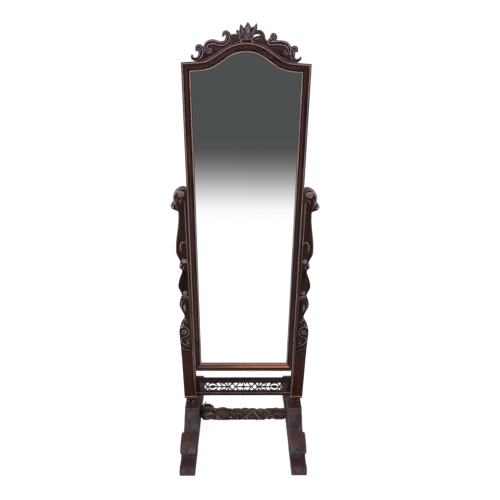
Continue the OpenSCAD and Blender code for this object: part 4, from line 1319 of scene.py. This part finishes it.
@dataclass
class Feet:
    """Cloud-scroll feet with rolled toes, and the collar blocks over them."""

    voxel: float = 1.4
    platform: float = 76.0
    cloud: float = 121.0
    toe: float = 40.0
    sole_len: float = 132.0
    sole_relief: float = 8.0

    def __post_init__(self) -> None:
        """Reads the feet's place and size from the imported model."""
        low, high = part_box("foot_right")
        self.x0, self.x1 = low.x / MM, high.x / MM
        self.half = high.y / MM
        self.top = high.z / MM

    def half_outline(self) -> Points:
        """Side outline of a foot's front half, as distance from the middle and height.

        Returns:
            Points from the platform to the sole.
        """
        h, t, p, c, toe = self.half, self.top, self.platform / 2, self.cloud, self.toe
        return np.vstack([
            [[p, t], [p + 2, t - 3], [p + 2, t - 9]],
            bezier([p - 1, t - 11], [p + 21, t - 13], [h - 197, 0.6 * c], [h - 157, 0.58 * c], 20),
            bezier([h - 150, 0.57 * c], [h - 147, 0.917 * c], [h - 129, 1.008 * c], [h - 109, c], 20),
            bezier([h - 103, 0.992 * c], [h - 73, 0.959 * c], [h - 45, 0.81 * c], [h - 52, 0.636 * c], 18),
            bezier([h - 53, 0.62 * c], [h - 59, 0.53 * c], [h - 75, 0.53 * c], [h - 76, 0.44 * c], 12),
            bezier([h - 75, 1.275 * toe], [h - 69, 0.9 * toe], [h - 49, 0.8 * toe], [h - 34, 0.9 * toe], 14),
            bezier([h - 32, 0.925 * toe], [h - 15, 1.15 * toe], [h + 2, 0.85 * toe], [h, 0.35 * toe], 16),
            [[h - 1, 0.2 * toe], [h - 5, 2], [h - 9, 0], [h - self.sole_len, 0],
             [h - self.sole_len - 10, self.sole_relief]],
        ])

    def side_lines(self) -> list[Ridge]:
        """Carved lines on a foot's side faces, mirrored front to back.

        Returns:
            Ridges and grooves in Y and Z.
        """
        h = self.half
        out = []
        for s in (-1, 1):
            def line(keys: Sequence[Sequence[float]], width: float, height: float, sign: int = s) -> None:
                """One line through key points."""
                out.append(Ridge(smooth_path([[sign * a, b] for a, b in keys], 3.0), width, height, 0.4))

            eye = (s * (h - 96), 88)
            out.append(Ridge(spiral(eye, 27, 6, 90 - s * 90 + 60 * s, 1.35 * s, 70), 2.6, -3.0, 0.3))
            out.append(Ridge(np.array([eye, (eye[0] + 0.1, eye[1])]), 6.0, 2.6))
            out.append(Ridge(spiral((s * (h - 24), 21), 12, 4, 90, -1.1 * s, 50), 2.2, -2.6, 0.3))
            line([[h - 168, 60], [h - 146, 52], [h - 114, 46], [h - 88, 42]], 2.6, -2.8)
            line([[h - 84, 36], [h - 66, 22], [h - 48, 18], [h - 38, 24]], 2.4, -2.4)
            line([[42, self.top - 24], [58, self.top - 34], [h - 196, 84], [h - 164, 60]], 2.4, -2.4)
        return out

    def foot(self, side: int, label: str) -> None:
        """Builds one foot.

        Args:
            side: 1 for the right foot and -1 for the left.
            label: Name of the side.
        """
        half = self.half_outline()
        outline = np.vstack([half, (half * [-1, 1])[::-1]])
        n = len(outline)
        c = Carving(f"carved_foot_{label}")
        rings = []
        for x, inset in ((self.x0 + 0.2, 1.6), (self.x0 + 1.8, 0.0), (self.x1 - 1.8, 0.0), (self.x1 - 0.2, 1.6)):
            centre = outline.mean(0)
            shrunk = outline - (outline - centre) / np.linalg.norm(outline - centre, axis=1, keepdims=True) * inset
            rings.append(np.stack([np.full(n, x), shrunk[:, 0], shrunk[:, 1]], axis=1))
        c.add(np.vstack(rings), ring_faces(4, n))
        obj = c.fuse(self.voxel, 2)
        v = copy_points(obj)
        normals = copy_normals(obj)
        lines = relief(self.side_lines(), v[:, 1], v[:, 2])
        facing = np.clip(np.abs(normals[:, 0]) * 1.5 - 0.4, 0, 1) * np.sign(normals[:, 0])
        v[:, 0] += lines * facing
        v[:, 2] = np.maximum(v[:, 2], 0.0)
        v[:, 0] *= side
        set_points(obj, v)
        if side < 0:
            obj.data.flip_normals()
        edge_tone(obj, 1.2)
        # painted light: nearly level up-facing faces take the dark red tint, the rest keep the purple-grey painted
        # sheen
        mark_points(obj, "light_tint_share", np.clip((copy_normals(obj)[:, 2] - 0.84) / 0.14, 0, 0.9))
        dress(obj, FOOT_WOOD)
        place(obj, Body.STAND, Slot.FOOT, f"foot_{label}")

    def collar(self, side: int, label: str) -> None:
        """Builds the waisted block between a foot and its post, with curled corners.

        Args:
            side: 1 for the right block and -1 for the left.
            label: Name of the side.
        """
        low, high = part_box(f"collar_{label}")
        a, b = sorted((abs(low.x) / MM, abs(high.x) / MM))
        z0, z1 = low.z / MM, high.z / MM
        y1 = high.y / MM
        c = Carving(f"carved_collar_{label}")
        z = np.linspace(z0 + 0.2, z1 - 0.2, 24)
        t = (z - z0) / (z1 - z0)
        waist = 7.5 * np.sin(math.pi * np.clip(t * 1.02, 0, 1)) ** 0.6
        rings = []
        for k in range(len(z)):
            x0, x1, y = a + waist[k], b - waist[k], y1 - waist[k]
            ring = [[x0, -y, z[k]], [x1, -y, z[k]], [x1, y, z[k]], [x0, y, z[k]]]
            rings.append(np.array(ring))
        c.add(np.vstack(rings), ring_faces(len(z), 4))
        for x in (a + 5, b - 5):
            s = -1 if x < (a + b) / 2 else 1
            path = smooth_path([[x - s * 13, z0 + 6], [x - s * 3, z0 + 7], [x + s * 1, z0 + 16], [x - s * 1, z0 + 27],
                                [x - s * 8, z0 + 30], [x - s * 10, z0 + 22], [x - s * 5, z0 + 19]], 1.2)
            for y in (-y1 + 5, y1 - 5):
                c.stroke_flat(path, [3.0, 3.8, 4.2, 4.2, 3.8, 3.0, 2.2], [4.4, 5.0, 4.6], y, 0.7)
        obj = c.fuse(0.9, 3)
        v = copy_points(obj)
        v[:, 0] *= side
        set_points(obj, v)
        if side < 0:
            obj.data.flip_normals()
        edge_tone(obj, 0.8)
        dress(obj, CARVED_WOOD)
        place(obj, Body.STAND, Slot.CARVED, f"collar_{label}")

    def build(self) -> None:
        """Builds both feet and both collars."""
        for side, label in ((-1, "left"), (1, "right")):
            self.foot(side, label)
            self.collar(side, label)


@dataclass
class FretBoard:
    """Pierced board between the posts: two moulded rails and the openwork set near their fronts."""

    stem: float = 2.3
    panel_y: float = -1.5
    panel_half: float = 3.4
    groove: float = 4.0
    margin: float = 18.0
    bead_share: float = 0.8
    bead_r: float = 3.0

    def __post_init__(self) -> None:
        """Reads the board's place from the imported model."""
        self.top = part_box("fret_top_rail")
        self.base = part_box("fret_bottom_rail")
        self.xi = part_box("post_right")[0].x / MM
        self.half_t = self.top[1].y / MM
        self.low = self.base[1].z / MM
        self.high = self.top[0].z / MM

    def rail(self, name: str, node: str, section: Sequence[tuple[float, float]]) -> None:
        """Builds a straight moulded rail.

        Args:
            name: Name of the piece.
            node: CAD node that it stands for.
            section: Points of the section in Y and Z.
        """
        s = np.array(section)
        rows = [np.stack([np.full(len(s), x), s[:, 0], s[:, 1]], axis=1) for x in np.linspace(-self.xi, self.xi, 40)]
        obj = new_object(name, np.vstack(rows), ring_faces(len(rows), len(s)))
        obj.data.set_sharp_from_angle(angle=math.radians(40))
        # the proud bead is marked fully proud, so it takes the worn colour: wear and painted highlight
        mark_points(obj, "tone", np.tile(np.where(s[:, 0] < -self.half_t - 0.5, 1.0, 0.5), len(rows)))
        dress(obj, RAIL_WOOD)
        place(obj, Body.STAND, Slot.FRAME, node)

    def rails(self) -> None:
        """Builds the top and the bottom rail."""
        d = self.half_t
        a, b = self.panel_y - 3.5, self.panel_y + 3.5
        z0, z1 = self.high, self.top[1].z / MM
        r = 2.2
        arc = [(r * (1 - math.sin(t)), r * (1 - math.cos(t))) for t in np.linspace(0, math.pi / 2, 6)]
        top = [(-d, z0 + 1.2)] + [(-d + x, z1 - y) for y, x in arc[::-1]] + [(d - x, z1 - y) for x, y in arc[::-1]]
        top += [(d, z0 + 1), (d - 1, z0), (b, z0), (b, z0 + self.groove), (a, z0 + self.groove), (a, z0),
                (-d + 1.2, z0)]
        self.rail("fret_top_rail_moulded", "fret_top_rail", top)
        z0, z1 = self.base[0].z / MM, self.low
        mid = z0 + self.bead_share * (z1 - z0)
        front: list[tuple[float, float]] = [
            (-d + 2, z0), (-d, z0 + 2), (-d, mid - 5.4), (-d + 1.4, mid - 4.6), (-d + 1.4, mid - 3.2)]
        front += [(-d - 2.5 * math.sin(t), mid - self.bead_r * math.cos(t))
                  for t in np.linspace(0.1, math.pi - 0.1, 12)]
        front += [(-d + 1.4, mid + 3.2), (-d + 1.4, mid + 4.6), (-d, mid + 5.4), (-d, z1 - 1), (-d + 0.8, z1)]
        back = [(a, z1), (a, z1 - self.groove), (b, z1 - self.groove), (b, z1), (d - 1, z1), (d, z1 - 1), (d, z0 + 2),
                (d - 2, z0)]
        self.rail("fret_bottom_rail_moulded", "fret_bottom_rail", front + back)

    def openwork(self) -> None:
        """Carves the openwork of crossing stems, ringed leaves and hooks."""
        zc = (self.low + self.high) / 2
        h = (self.high - self.low) / 2
        w = self.stem
        c = Carving("fret_openwork")
        e = self.xi - 0.6
        ux, uz = (self.xi - self.margin) / 200, h / 21
        y0, y1 = self.panel_y - self.panel_half, self.panel_y + self.panel_half
        for z0, z1 in ((zc - h - 2.8, zc - h + 1.2), (zc + h - 1.2, zc + h + 2.8)):
            c.plate(np.array([[-e, z0], [e, z0], [e, z1], [-e, z1]]), y0, y1)
        for sx in (-1, 1):
            inner = self.xi - self.margin
            c.plate(np.array([[sx * inner, zc - h], [sx * e, zc - h], [sx * e, zc + h], [sx * inner, zc + h]]), y0, y1)

        def stem(keys: Sequence[Sequence[float]], size: Sequence[float], sx: int, sz: int) -> None:
            """One stem, mirrored as asked."""
            p = smooth_path(keys, 1.5) * [sx * ux, sz * uz] + [0, zc]
            c.stroke_flat(p, [w * s for s in size], [self.panel_half] * len(size), self.panel_y, 0.7)

        t = 22.0
        for sx in (-1, 1):
            for sz in (-1, 1):
                stem([[21, t], [24, 14], [31, 8], [31, 0]], [1.2, 1.0, 1.1], sx, sz)
                stem([[28, 0], [40, 3], [47, 12], [60, t]], [1.0, 1.1, 1.3], sx, sz)
                stem([[42, t], [53, 14], [64, 4], [84, 0]], [1.3, 1.1, 0.8], sx, sz)
                stem([[60, 0], [75, 3], [84, 11], [90, t]], [0.9, 1.0, 1.3], sx, sz)
                stem([[84, 0], [99, 3], [104, 11], [112, t]], [0.9, 1.0, 1.2], sx, sz)
                stem([[72, t], [74, 15], [70, 11], [66, 14]], [1.1, 1.0, 0.8], sx, sz)
                stem([[100, t], [98, 16], [94, 13], [90, 15]], [1.1, 0.9, 0.7], sx, sz)
                stem([[159, 0], [168, 3], [173, 10], [172, t]], [1.1, 1.3, 1.4], sx, sz)
                stem([[173, 9], [181, 12], [187, 9], [185, 4]], [1.0, 1.1, 0.8], sx, sz)
                stem([[10, t], [11, 16], [7, 13]], [1.2, 1.0, 0.7], sx, sz)
                stem([[122, t], [125, 17], [131, 13]], [1.3, 1.0, 0.9], sx, sz)
            ring = spiral((sx * 142 * ux, zc), h - 4, h - 4, 0, 1.0, 60)
            c.stroke_flat(ring, [w, w], [self.panel_half] * 2, self.panel_y, 0.7)
            stem([[126, 0], [134, 3], [144, 4], [156, 0]], [0.6, 1.5, 1.6, 0.5], sx, 1)
            stem([[128, 0], [136, -3], [147, -4], [158, 0]], [0.5, 1.5, 1.5, 0.5], sx, 1)
            stem([[78, 0], [100, 0], [124, 0]], [0.9, 1.1, 1.0], sx, 1)
            stem([[8, 0], [30, 0]], [1.0, 1.0], sx, 1)
        c.plate(np.array([[-10, zc], [0, zc - 8], [10, zc], [0, zc + 8]]), y0, y1)
        c.ball([0, self.panel_y - 2.0, zc], [6, 3, 5])
        stem([[0, -t], [0, t]], [0.95, 0.95], 1, 1)
        obj = c.fuse(0.75, 1)
        edge_tone(obj, 0.5)
        dress(obj, RAIL_WOOD)
        place(obj, Body.STAND, Slot.CARVED, "fret_panel")

    def build(self) -> None:
        """Builds the rails and the openwork."""
        self.rails()
        self.openwork()


@dataclass
class Branch:
    """Carved stretcher between the feet: a twisted branch wound with vines, melons and leaves."""

    voxel: float = 1.0
    radius: float = 21.0
    lobe: float = 4.6
    pitch: float = 74.0

    def __post_init__(self) -> None:
        """Reads the stretcher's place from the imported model."""
        self.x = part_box("foot_right")[0].x / MM
        low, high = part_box("stretcher")
        self.zc = (low.z + high.z) / 2 / MM

    def vine(self, c: Carving, keys: Sequence[Sequence[float]], radius: Sequence[float]) -> None:
        """Adds a round vine that lies on the branch.

        Args:
            c: Carving to add to.
            keys: Place along X, angle above the front in degrees, and distance from the branch's middle.
            radius: Radii along it.
        """
        k = smooth_path(keys, 2.5)
        a = np.radians(k[:, 1])
        c.stroke(np.stack([k[:, 0], -k[:, 2] * np.cos(a), self.zc + k[:, 2] * np.sin(a)], axis=1), radius, radius)

    def twist(self, c: Carving) -> None:
        """Adds the branch itself, a bar with lobes that wind round it.

        Args:
            c: Carving to add to.
        """
        e = self.x - 0.4
        cols = 72
        a = np.linspace(0, 2 * math.pi, cols, endpoint=False)
        rows = []
        for x in np.linspace(-e, e, 330):
            turn = math.tau * x / self.pitch
            end = min(1.0, (e - abs(x)) / 14)
            wide = self.lobe * end * np.abs(np.cos(a - turn)) ** 1.4
            fine = 0.9 * end * np.cos(9 * a - 4 * turn)
            r = self.radius + 1.5 * math.sin(x * 0.045 + 1.0) + wide + fine
            rows.append(np.stack([np.full(cols, x), r * np.cos(a), self.zc + r * np.sin(a)], axis=1))
        c.add(np.vstack(rows), ring_faces(len(rows), cols))

    def build(self) -> None:
        """Carves the stretcher."""
        c = Carving("carved_stretcher")
        self.twist(c)
        for x, z, size, lobes in ((-98, 11, (38, 25, 29), 13), (-28, 6, (13, 18, 24), 9), (14, 6, (12, 18, 24), 9),
                                  (50, 6, (15, 18, 23), 9), (84, 6, (15, 19, 22), 9), (116, 5, (14, 17, 20), 9)):
            c.ball([x, -5, self.zc + z], size, lobes, 0.14)
        self.vine(c, [[-150, -34, 24], [-122, -44, 25], [-96, -54, 26], [-62, -58, 25], [-34, -52, 25], [-14, -30, 25],
                      [2, -2, 26], [20, 30, 26], [40, 62, 26]], [3.0, 3.6, 3.8, 3.8, 3.6, 3.6, 3.4, 3.0])
        self.vine(c, [[-2, -40, 25], [18, -56, 25], [46, -60, 25], [74, -50, 25], [95, -26, 26], [110, 6, 26],
                      [126, 36, 25], [148, 60, 24]], [3.0, 3.6, 3.8, 3.8, 3.6, 3.4, 3.2])
        self.vine(c, [[-134, 40, 30], [-112, 14, 31], [-92, -8, 30], [-70, -30, 27]], [3.2, 3.8, 3.8, 2.8])
        self.vine(c, [[52, 58, 27], [68, 24, 28], [86, -6, 27], [104, -36, 25]], [3.0, 3.6, 3.6, 2.8])
        self.vine(c, [[120, 54, 25], [140, 18, 26], [158, -10, 26], [184, -34, 24]], [3.0, 3.6, 3.6, 3.2])
        self.vine(c, [[150, 44, 25], [168, 52, 26], [190, 40, 25]], [3.0, 4.2, 3.8])
        tendril = smooth_path([[-190, -6, 34], [-186, -8, 56], [-179, -8, 74], [-173, -6, 84]], 2.0) + [0, 0, self.zc]
        c.stroke(tendril, [4.2, 3.6, 3.4, 2.2], [4.2, 3.6, 3.4, 2.2])
        # leaf mass at the left end
        for keys, width in (
            ([[-200, -8, 34], [-178, -10, 42], [-156, -12, 43], [-138, -12, 42], [-130, -14, 33]], (8, 12, 13, 9, 3)),
            ([[-194, -20, 10], [-172, -26, 22], [-152, -27, 24], [-130, -24, 18]], (7, 13, 12, 3)),
            ([[-200, 8, 30], [-180, 10, 40], [-160, 10, 40], [-140, 8, 36]], (6, 12, 12, 3)),
            ([[-188, -24, -8], [-166, -28, -1], [-146, -28, 2]], (5, 9, 3)),
        ):
            p = smooth_path(keys, 2.0) + [0, 0, self.zc]
            c.stroke(p, width, [0.36 * s + 2 for s in width], 0.8)
        for keys in ([[120, 6, 20], [134, 0, 29], [150, -6, 28], [162, -10, 20]],
                     [[-50, 8, 20], [-36, 0, 27], [-22, -8, 24]]):
            p = smooth_path(keys, 2.0) + [0, 0, self.zc]
            c.stroke(p, [3, 7, 7, 2.5], [3, 4.0, 4.0, 2])
        for x, y, z in ((-58, -25, 4), (18, -26, 0), (132, -25, -4), (-122, -27, 2), (62, -27, -12), (-28, -26, -2)):
            c.ball([x, y, self.zc + z], [4.0, 4.0, 4.0])
        obj = c.fuse(self.voxel, 2)
        self.engrave(obj)
        edge_tone(obj, 0.9)
        dress(obj, BRANCH_WOOD)
        place(obj, Body.STAND, Slot.CARVED, "stretcher")

    def engrave(self, obj: bpy.types.Object) -> None:
        """Cuts leaf veins into the branch."""
        v = copy_points(obj)
        x, z = v[:, 0], v[:, 2] - self.zc
        cuts = []
        for x0, z0 in ((-186, 16), (-172, 26), (-158, 30), (-144, 28), (-176, 2), (-160, 6)):
            for k in range(3):
                cuts.append(Ridge(smooth_path([[x0 + k * 5, z0], [x0 + 6 + k * 5, z0 + 10]], 2), 1.2, -1.8, 0.7))
        v += copy_normals(obj) * relief(cuts, x, z)[:, None]
        set_points(obj, v)


@dataclass
class Hardware:
    """CAD pieces whose shape stays: pivots, washers, screws, dowels, pegs and back boards."""

    bevel: float = 0.25

    def build(self) -> None:
        """Dresses each kept CAD node and rounds its edges a little."""
        finishes: list[tuple[Slot, Wood | Metal, tuple[str, ...], float]] = [
            (Slot.BRASS, BRASS, ("pivot_plate_left", "pivot_plate_right", "pivot_pin_left", "pivot_pin_right",
                                 "pivot_bush_left", "pivot_bush_right"), self.bevel),
            (Slot.SCREW, STEEL, ("back_screws", "plate_screws"), 0.15),
            (Slot.WASHER, LEATHER, ("friction_washer_left", "friction_washer_right"), 0.4),
            (Slot.PEG, PEG_WOOD, ("crest_dowels", "joint_pegs"), 0.3),
            (Slot.BACK, BACK_WOOD, ("back_board_lower", "back_board_middle", "back_board_upper"), 0.8),
        ]
        for slot, finish, names, width in finishes:
            for name in names:
                obj = frame["nodes"][name]
                dress(obj, finish)
                rounded = obj.modifiers.new("softened_edges", "BEVEL")
                rounded.width = width * MM
                rounded.segments = 2
                rounded.limit_method = "ANGLE"
                rounded.angle_limit = math.radians(50)
                log.info("%s: kept from the CAD, slot %s", name, slot.value)


# ---------------------------------------------------------------- studio


@dataclass
class Studio:
    """Pale floor, soft lights, a glowing gradient screen that paints the glass's reflection, and the camera."""

    camera_at: tuple[float, float, float] = (-0.0125, -1.4966, 1.6652)
    pitch: float = 26.03
    yaw: float = 1.244
    roll: float = -0.857
    lens: float = 30.96
    screen_y: float = -4.3
    screen_dark: tuple[float, float, float] = (0.0742, 0.0823, 0.0802)
    screen_steps: tuple[tuple[float, float], ...] = (
        (0.0, 1.0), (0.134, 0.965), (0.275, 0.784), (0.413, 0.578), (0.55, 0.381), (0.684, 0.235), (0.817, 0.136),
        (0.948, 0.0865))
    screen_top: float = 1.077
    silver: float = 0.91
    floor_join: float = -0.36
    floor_half: float = 14.0
    screen_half: float = 6.0

    def camera(self) -> None:
        """Sets the camera at the viewing angle."""
        data = bpy.data.cameras.new("camera")
        data.lens = self.lens
        data.sensor_width = 36
        data.clip_end = 60
        cam = bpy.data.objects.new("camera", data)
        bpy.context.scene.collection.objects.link(cam)
        pitch, yaw, roll = (math.radians(a) for a in (self.pitch, self.yaw, self.roll))
        forward = Vector((math.sin(yaw) * math.cos(pitch), math.cos(yaw) * math.cos(pitch), -math.sin(pitch)))
        right = Vector((math.cos(yaw), -math.sin(yaw), 0))
        down = forward.cross(right)
        right, down = right * math.cos(roll) + down * math.sin(roll), down * math.cos(roll) - right * math.sin(roll)
        up = -down
        cam.matrix_world = Matrix((
            (right.x, up.x, -forward.x, self.camera_at[0]),
            (right.y, up.y, -forward.y, self.camera_at[1]),
            (right.z, up.z, -forward.z, self.camera_at[2]),
            (0, 0, 0, 1)))
        bpy.context.scene.camera = cam

    def area(self, name: str, at: Sequence[float], aim: Sequence[float], size: tuple[float, float], power: float,
             tint: tuple[float, float, float] = (1, 1, 1)) -> bpy.types.Object:
        """Adds a soft rectangular light.

        Args:
            name: Name of the light.
            at: Its place.
            aim: Point that it faces.
            size: Its width and height.
            power: Its power in watts.
            tint: Its colour.

        Returns:
            The light's object.
        """
        data = bpy.data.lights.new(name, "AREA")
        data.shape = "RECTANGLE"
        data.size, data.size_y = size
        data.energy = power
        data.color = tint
        obj = bpy.data.objects.new(name, data)
        bpy.context.scene.collection.objects.link(obj)
        obj.location = at
        obj.rotation_euler = (Vector(aim) - Vector(at)).to_track_quat("-Z", "Y").to_euler()
        obj.visible_camera = False
        return obj

    def floor(self) -> None:
        """Lays the pale floor, whose far part is kept out of reflections so that the inner faces stay dark."""
        mat = bpy.data.materials.new("pale_floor")
        mat.use_nodes = True
        bsdf = mat.node_tree.nodes["Principled BSDF"]
        bsdf.inputs["Base Color"].default_value = (0.42, 0.42, 0.42, 1)
        bsdf.inputs["Roughness"].default_value = 0.9
        bsdf.inputs["Specular IOR Level"].default_value = 0.05
        bsdf.inputs["Emission Color"].default_value = (1, 1, 1, 1)
        bsdf.inputs["Emission Strength"].default_value = 0.84
        s = self.floor_half
        for name, y0, y1 in (("near", -s, self.floor_join), ("far", self.floor_join, s)):
            mesh = bpy.data.meshes.new(f"studio_floor_{name}")
            mesh.from_pydata([(-s, y0, 0), (s, y0, 0), (s, y1, 0), (-s, y1, 0)], [], [(0, 1, 2, 3)])
            obj = bpy.data.objects.new(f"studio_floor_{name}", mesh)
            bpy.context.scene.collection.objects.link(obj)
            obj.visible_glossy = name == "near"
            mesh.materials.append(mat)

    def screen(self) -> None:
        """Stands a glowing gradient screen behind the camera, seen only in the glass: a painted reflection, dark grey
        above and white below.
        """
        mesh = bpy.data.meshes.new("painted_reflection_screen")
        w = self.screen_half
        mesh.from_pydata([(-w, 0, 0), (w, 0, 0), (w, 0, w), (-w, 0, w)], [], [(0, 1, 2, 3)])
        obj = bpy.data.objects.new("painted_reflection_screen", mesh)
        bpy.context.scene.collection.objects.link(obj)
        obj.location = (0, self.screen_y, 0)
        mat = bpy.data.materials.new("painted_reflection_glow")
        mat.use_nodes = True
        nodes, links = mat.node_tree.nodes, mat.node_tree.links
        nodes.clear()
        out = nodes.new("ShaderNodeOutputMaterial")
        glow = nodes.new("ShaderNodeEmission")
        coord = nodes.new("ShaderNodeTexCoord")
        split = nodes.new("ShaderNodeSeparateXYZ")
        rise = nodes.new("ShaderNodeMapRange")
        rise.inputs["From Max"].default_value = self.screen_top
        ramp = nodes.new("ShaderNodeValToRGB")
        stops = ramp.color_ramp.elements
        stops[0].color = (1, 1, 1, 1)
        stops[1].color = (*self.screen_dark, 1)
        for height, value in self.screen_steps[1:]:
            stops.new(height / self.screen_top).color = (value, value, value, 1)
        glow.inputs["Strength"].default_value = 1 / self.silver
        links.new(coord.outputs["Object"], split.inputs["Vector"])
        links.new(split.outputs["Z"], rise.inputs["Value"])
        links.new(rise.outputs["Result"], ramp.inputs["Fac"])
        links.new(ramp.outputs["Color"], glow.inputs["Color"])
        links.new(glow.outputs["Emission"], out.inputs["Surface"])
        mesh.materials.append(mat)
        obj.visible_camera = False
        obj.visible_diffuse = False
        obj.visible_shadow = False

    def world(self) -> None:
        """Sets the pale surroundings."""
        world = bpy.data.worlds.new("studio_air")
        world.use_nodes = True
        nodes, links = world.node_tree.nodes, world.node_tree.links
        back = nodes["Background"]
        back.inputs["Color"].default_value = (1, 1, 1, 1)
        coord = nodes.new("ShaderNodeTexCoord")
        split = nodes.new("ShaderNodeSeparateXYZ")
        links.new(coord.outputs["Generated"], split.inputs["Vector"])
        depth = nodes.new("ShaderNodeMapRange")
        depth.inputs["From Min"].default_value = -0.1
        depth.inputs["From Max"].default_value = 0.35
        depth.inputs["To Min"].default_value = 0.28
        depth.inputs["To Max"].default_value = 1.04
        links.new(split.outputs["Y"], depth.inputs["Value"])
        rise = nodes.new("ShaderNodeMapRange")
        rise.inputs["From Min"].default_value = -0.2
        rise.inputs["From Max"].default_value = -0.125
        rise.inputs["To Min"].default_value = 0.04
        links.new(split.outputs["Z"], rise.inputs["Value"])
        light = nodes.new("ShaderNodeMath")
        light.operation = "MULTIPLY"
        links.new(depth.outputs["Result"], light.inputs[0])
        links.new(rise.outputs["Result"], light.inputs[1])
        links.new(light.outputs["Value"], back.inputs["Strength"])
        bpy.context.scene.world = world

    def build(self) -> None:
        """Sets up the whole studio."""
        self.camera()
        self.floor()
        self.screen()
        self.world()
        self.area("key_upper_left", (-1.9, -2.2, 3.1), (0, 0, 1.2), (0.9, 1.1), 60)
        self.area("overhead_softbox", (0.3, -0.1, 3.5), (0, 0, 1.0), (1.8, 1.4), 34)
        self.area("low_left_warm", (-2.4, -1.6, 0.5), (0, 0, 0.3), (0.8, 0.6), 22, (1.0, 0.72, 0.5))
        view = bpy.context.scene.view_settings
        view.view_transform = "Standard"
        view.look = "None"


def main() -> None:
    """Builds every sub-assembly in order."""
    logging.basicConfig(level=logging.INFO, format="%(name)s: %(message)s")
    Studio().build()
    tilt = TiltingFrame()
    FrameMoulding(tilt).build()
    Glass(tilt).build()
    Crest(tilt).build()
    ScrollPosts().build()
    Feet().build()
    FretBoard().build()
    Branch().build()
    Hardware().build()
    bpy.context.view_layer.update()


if __name__ == "__main__":
    main()
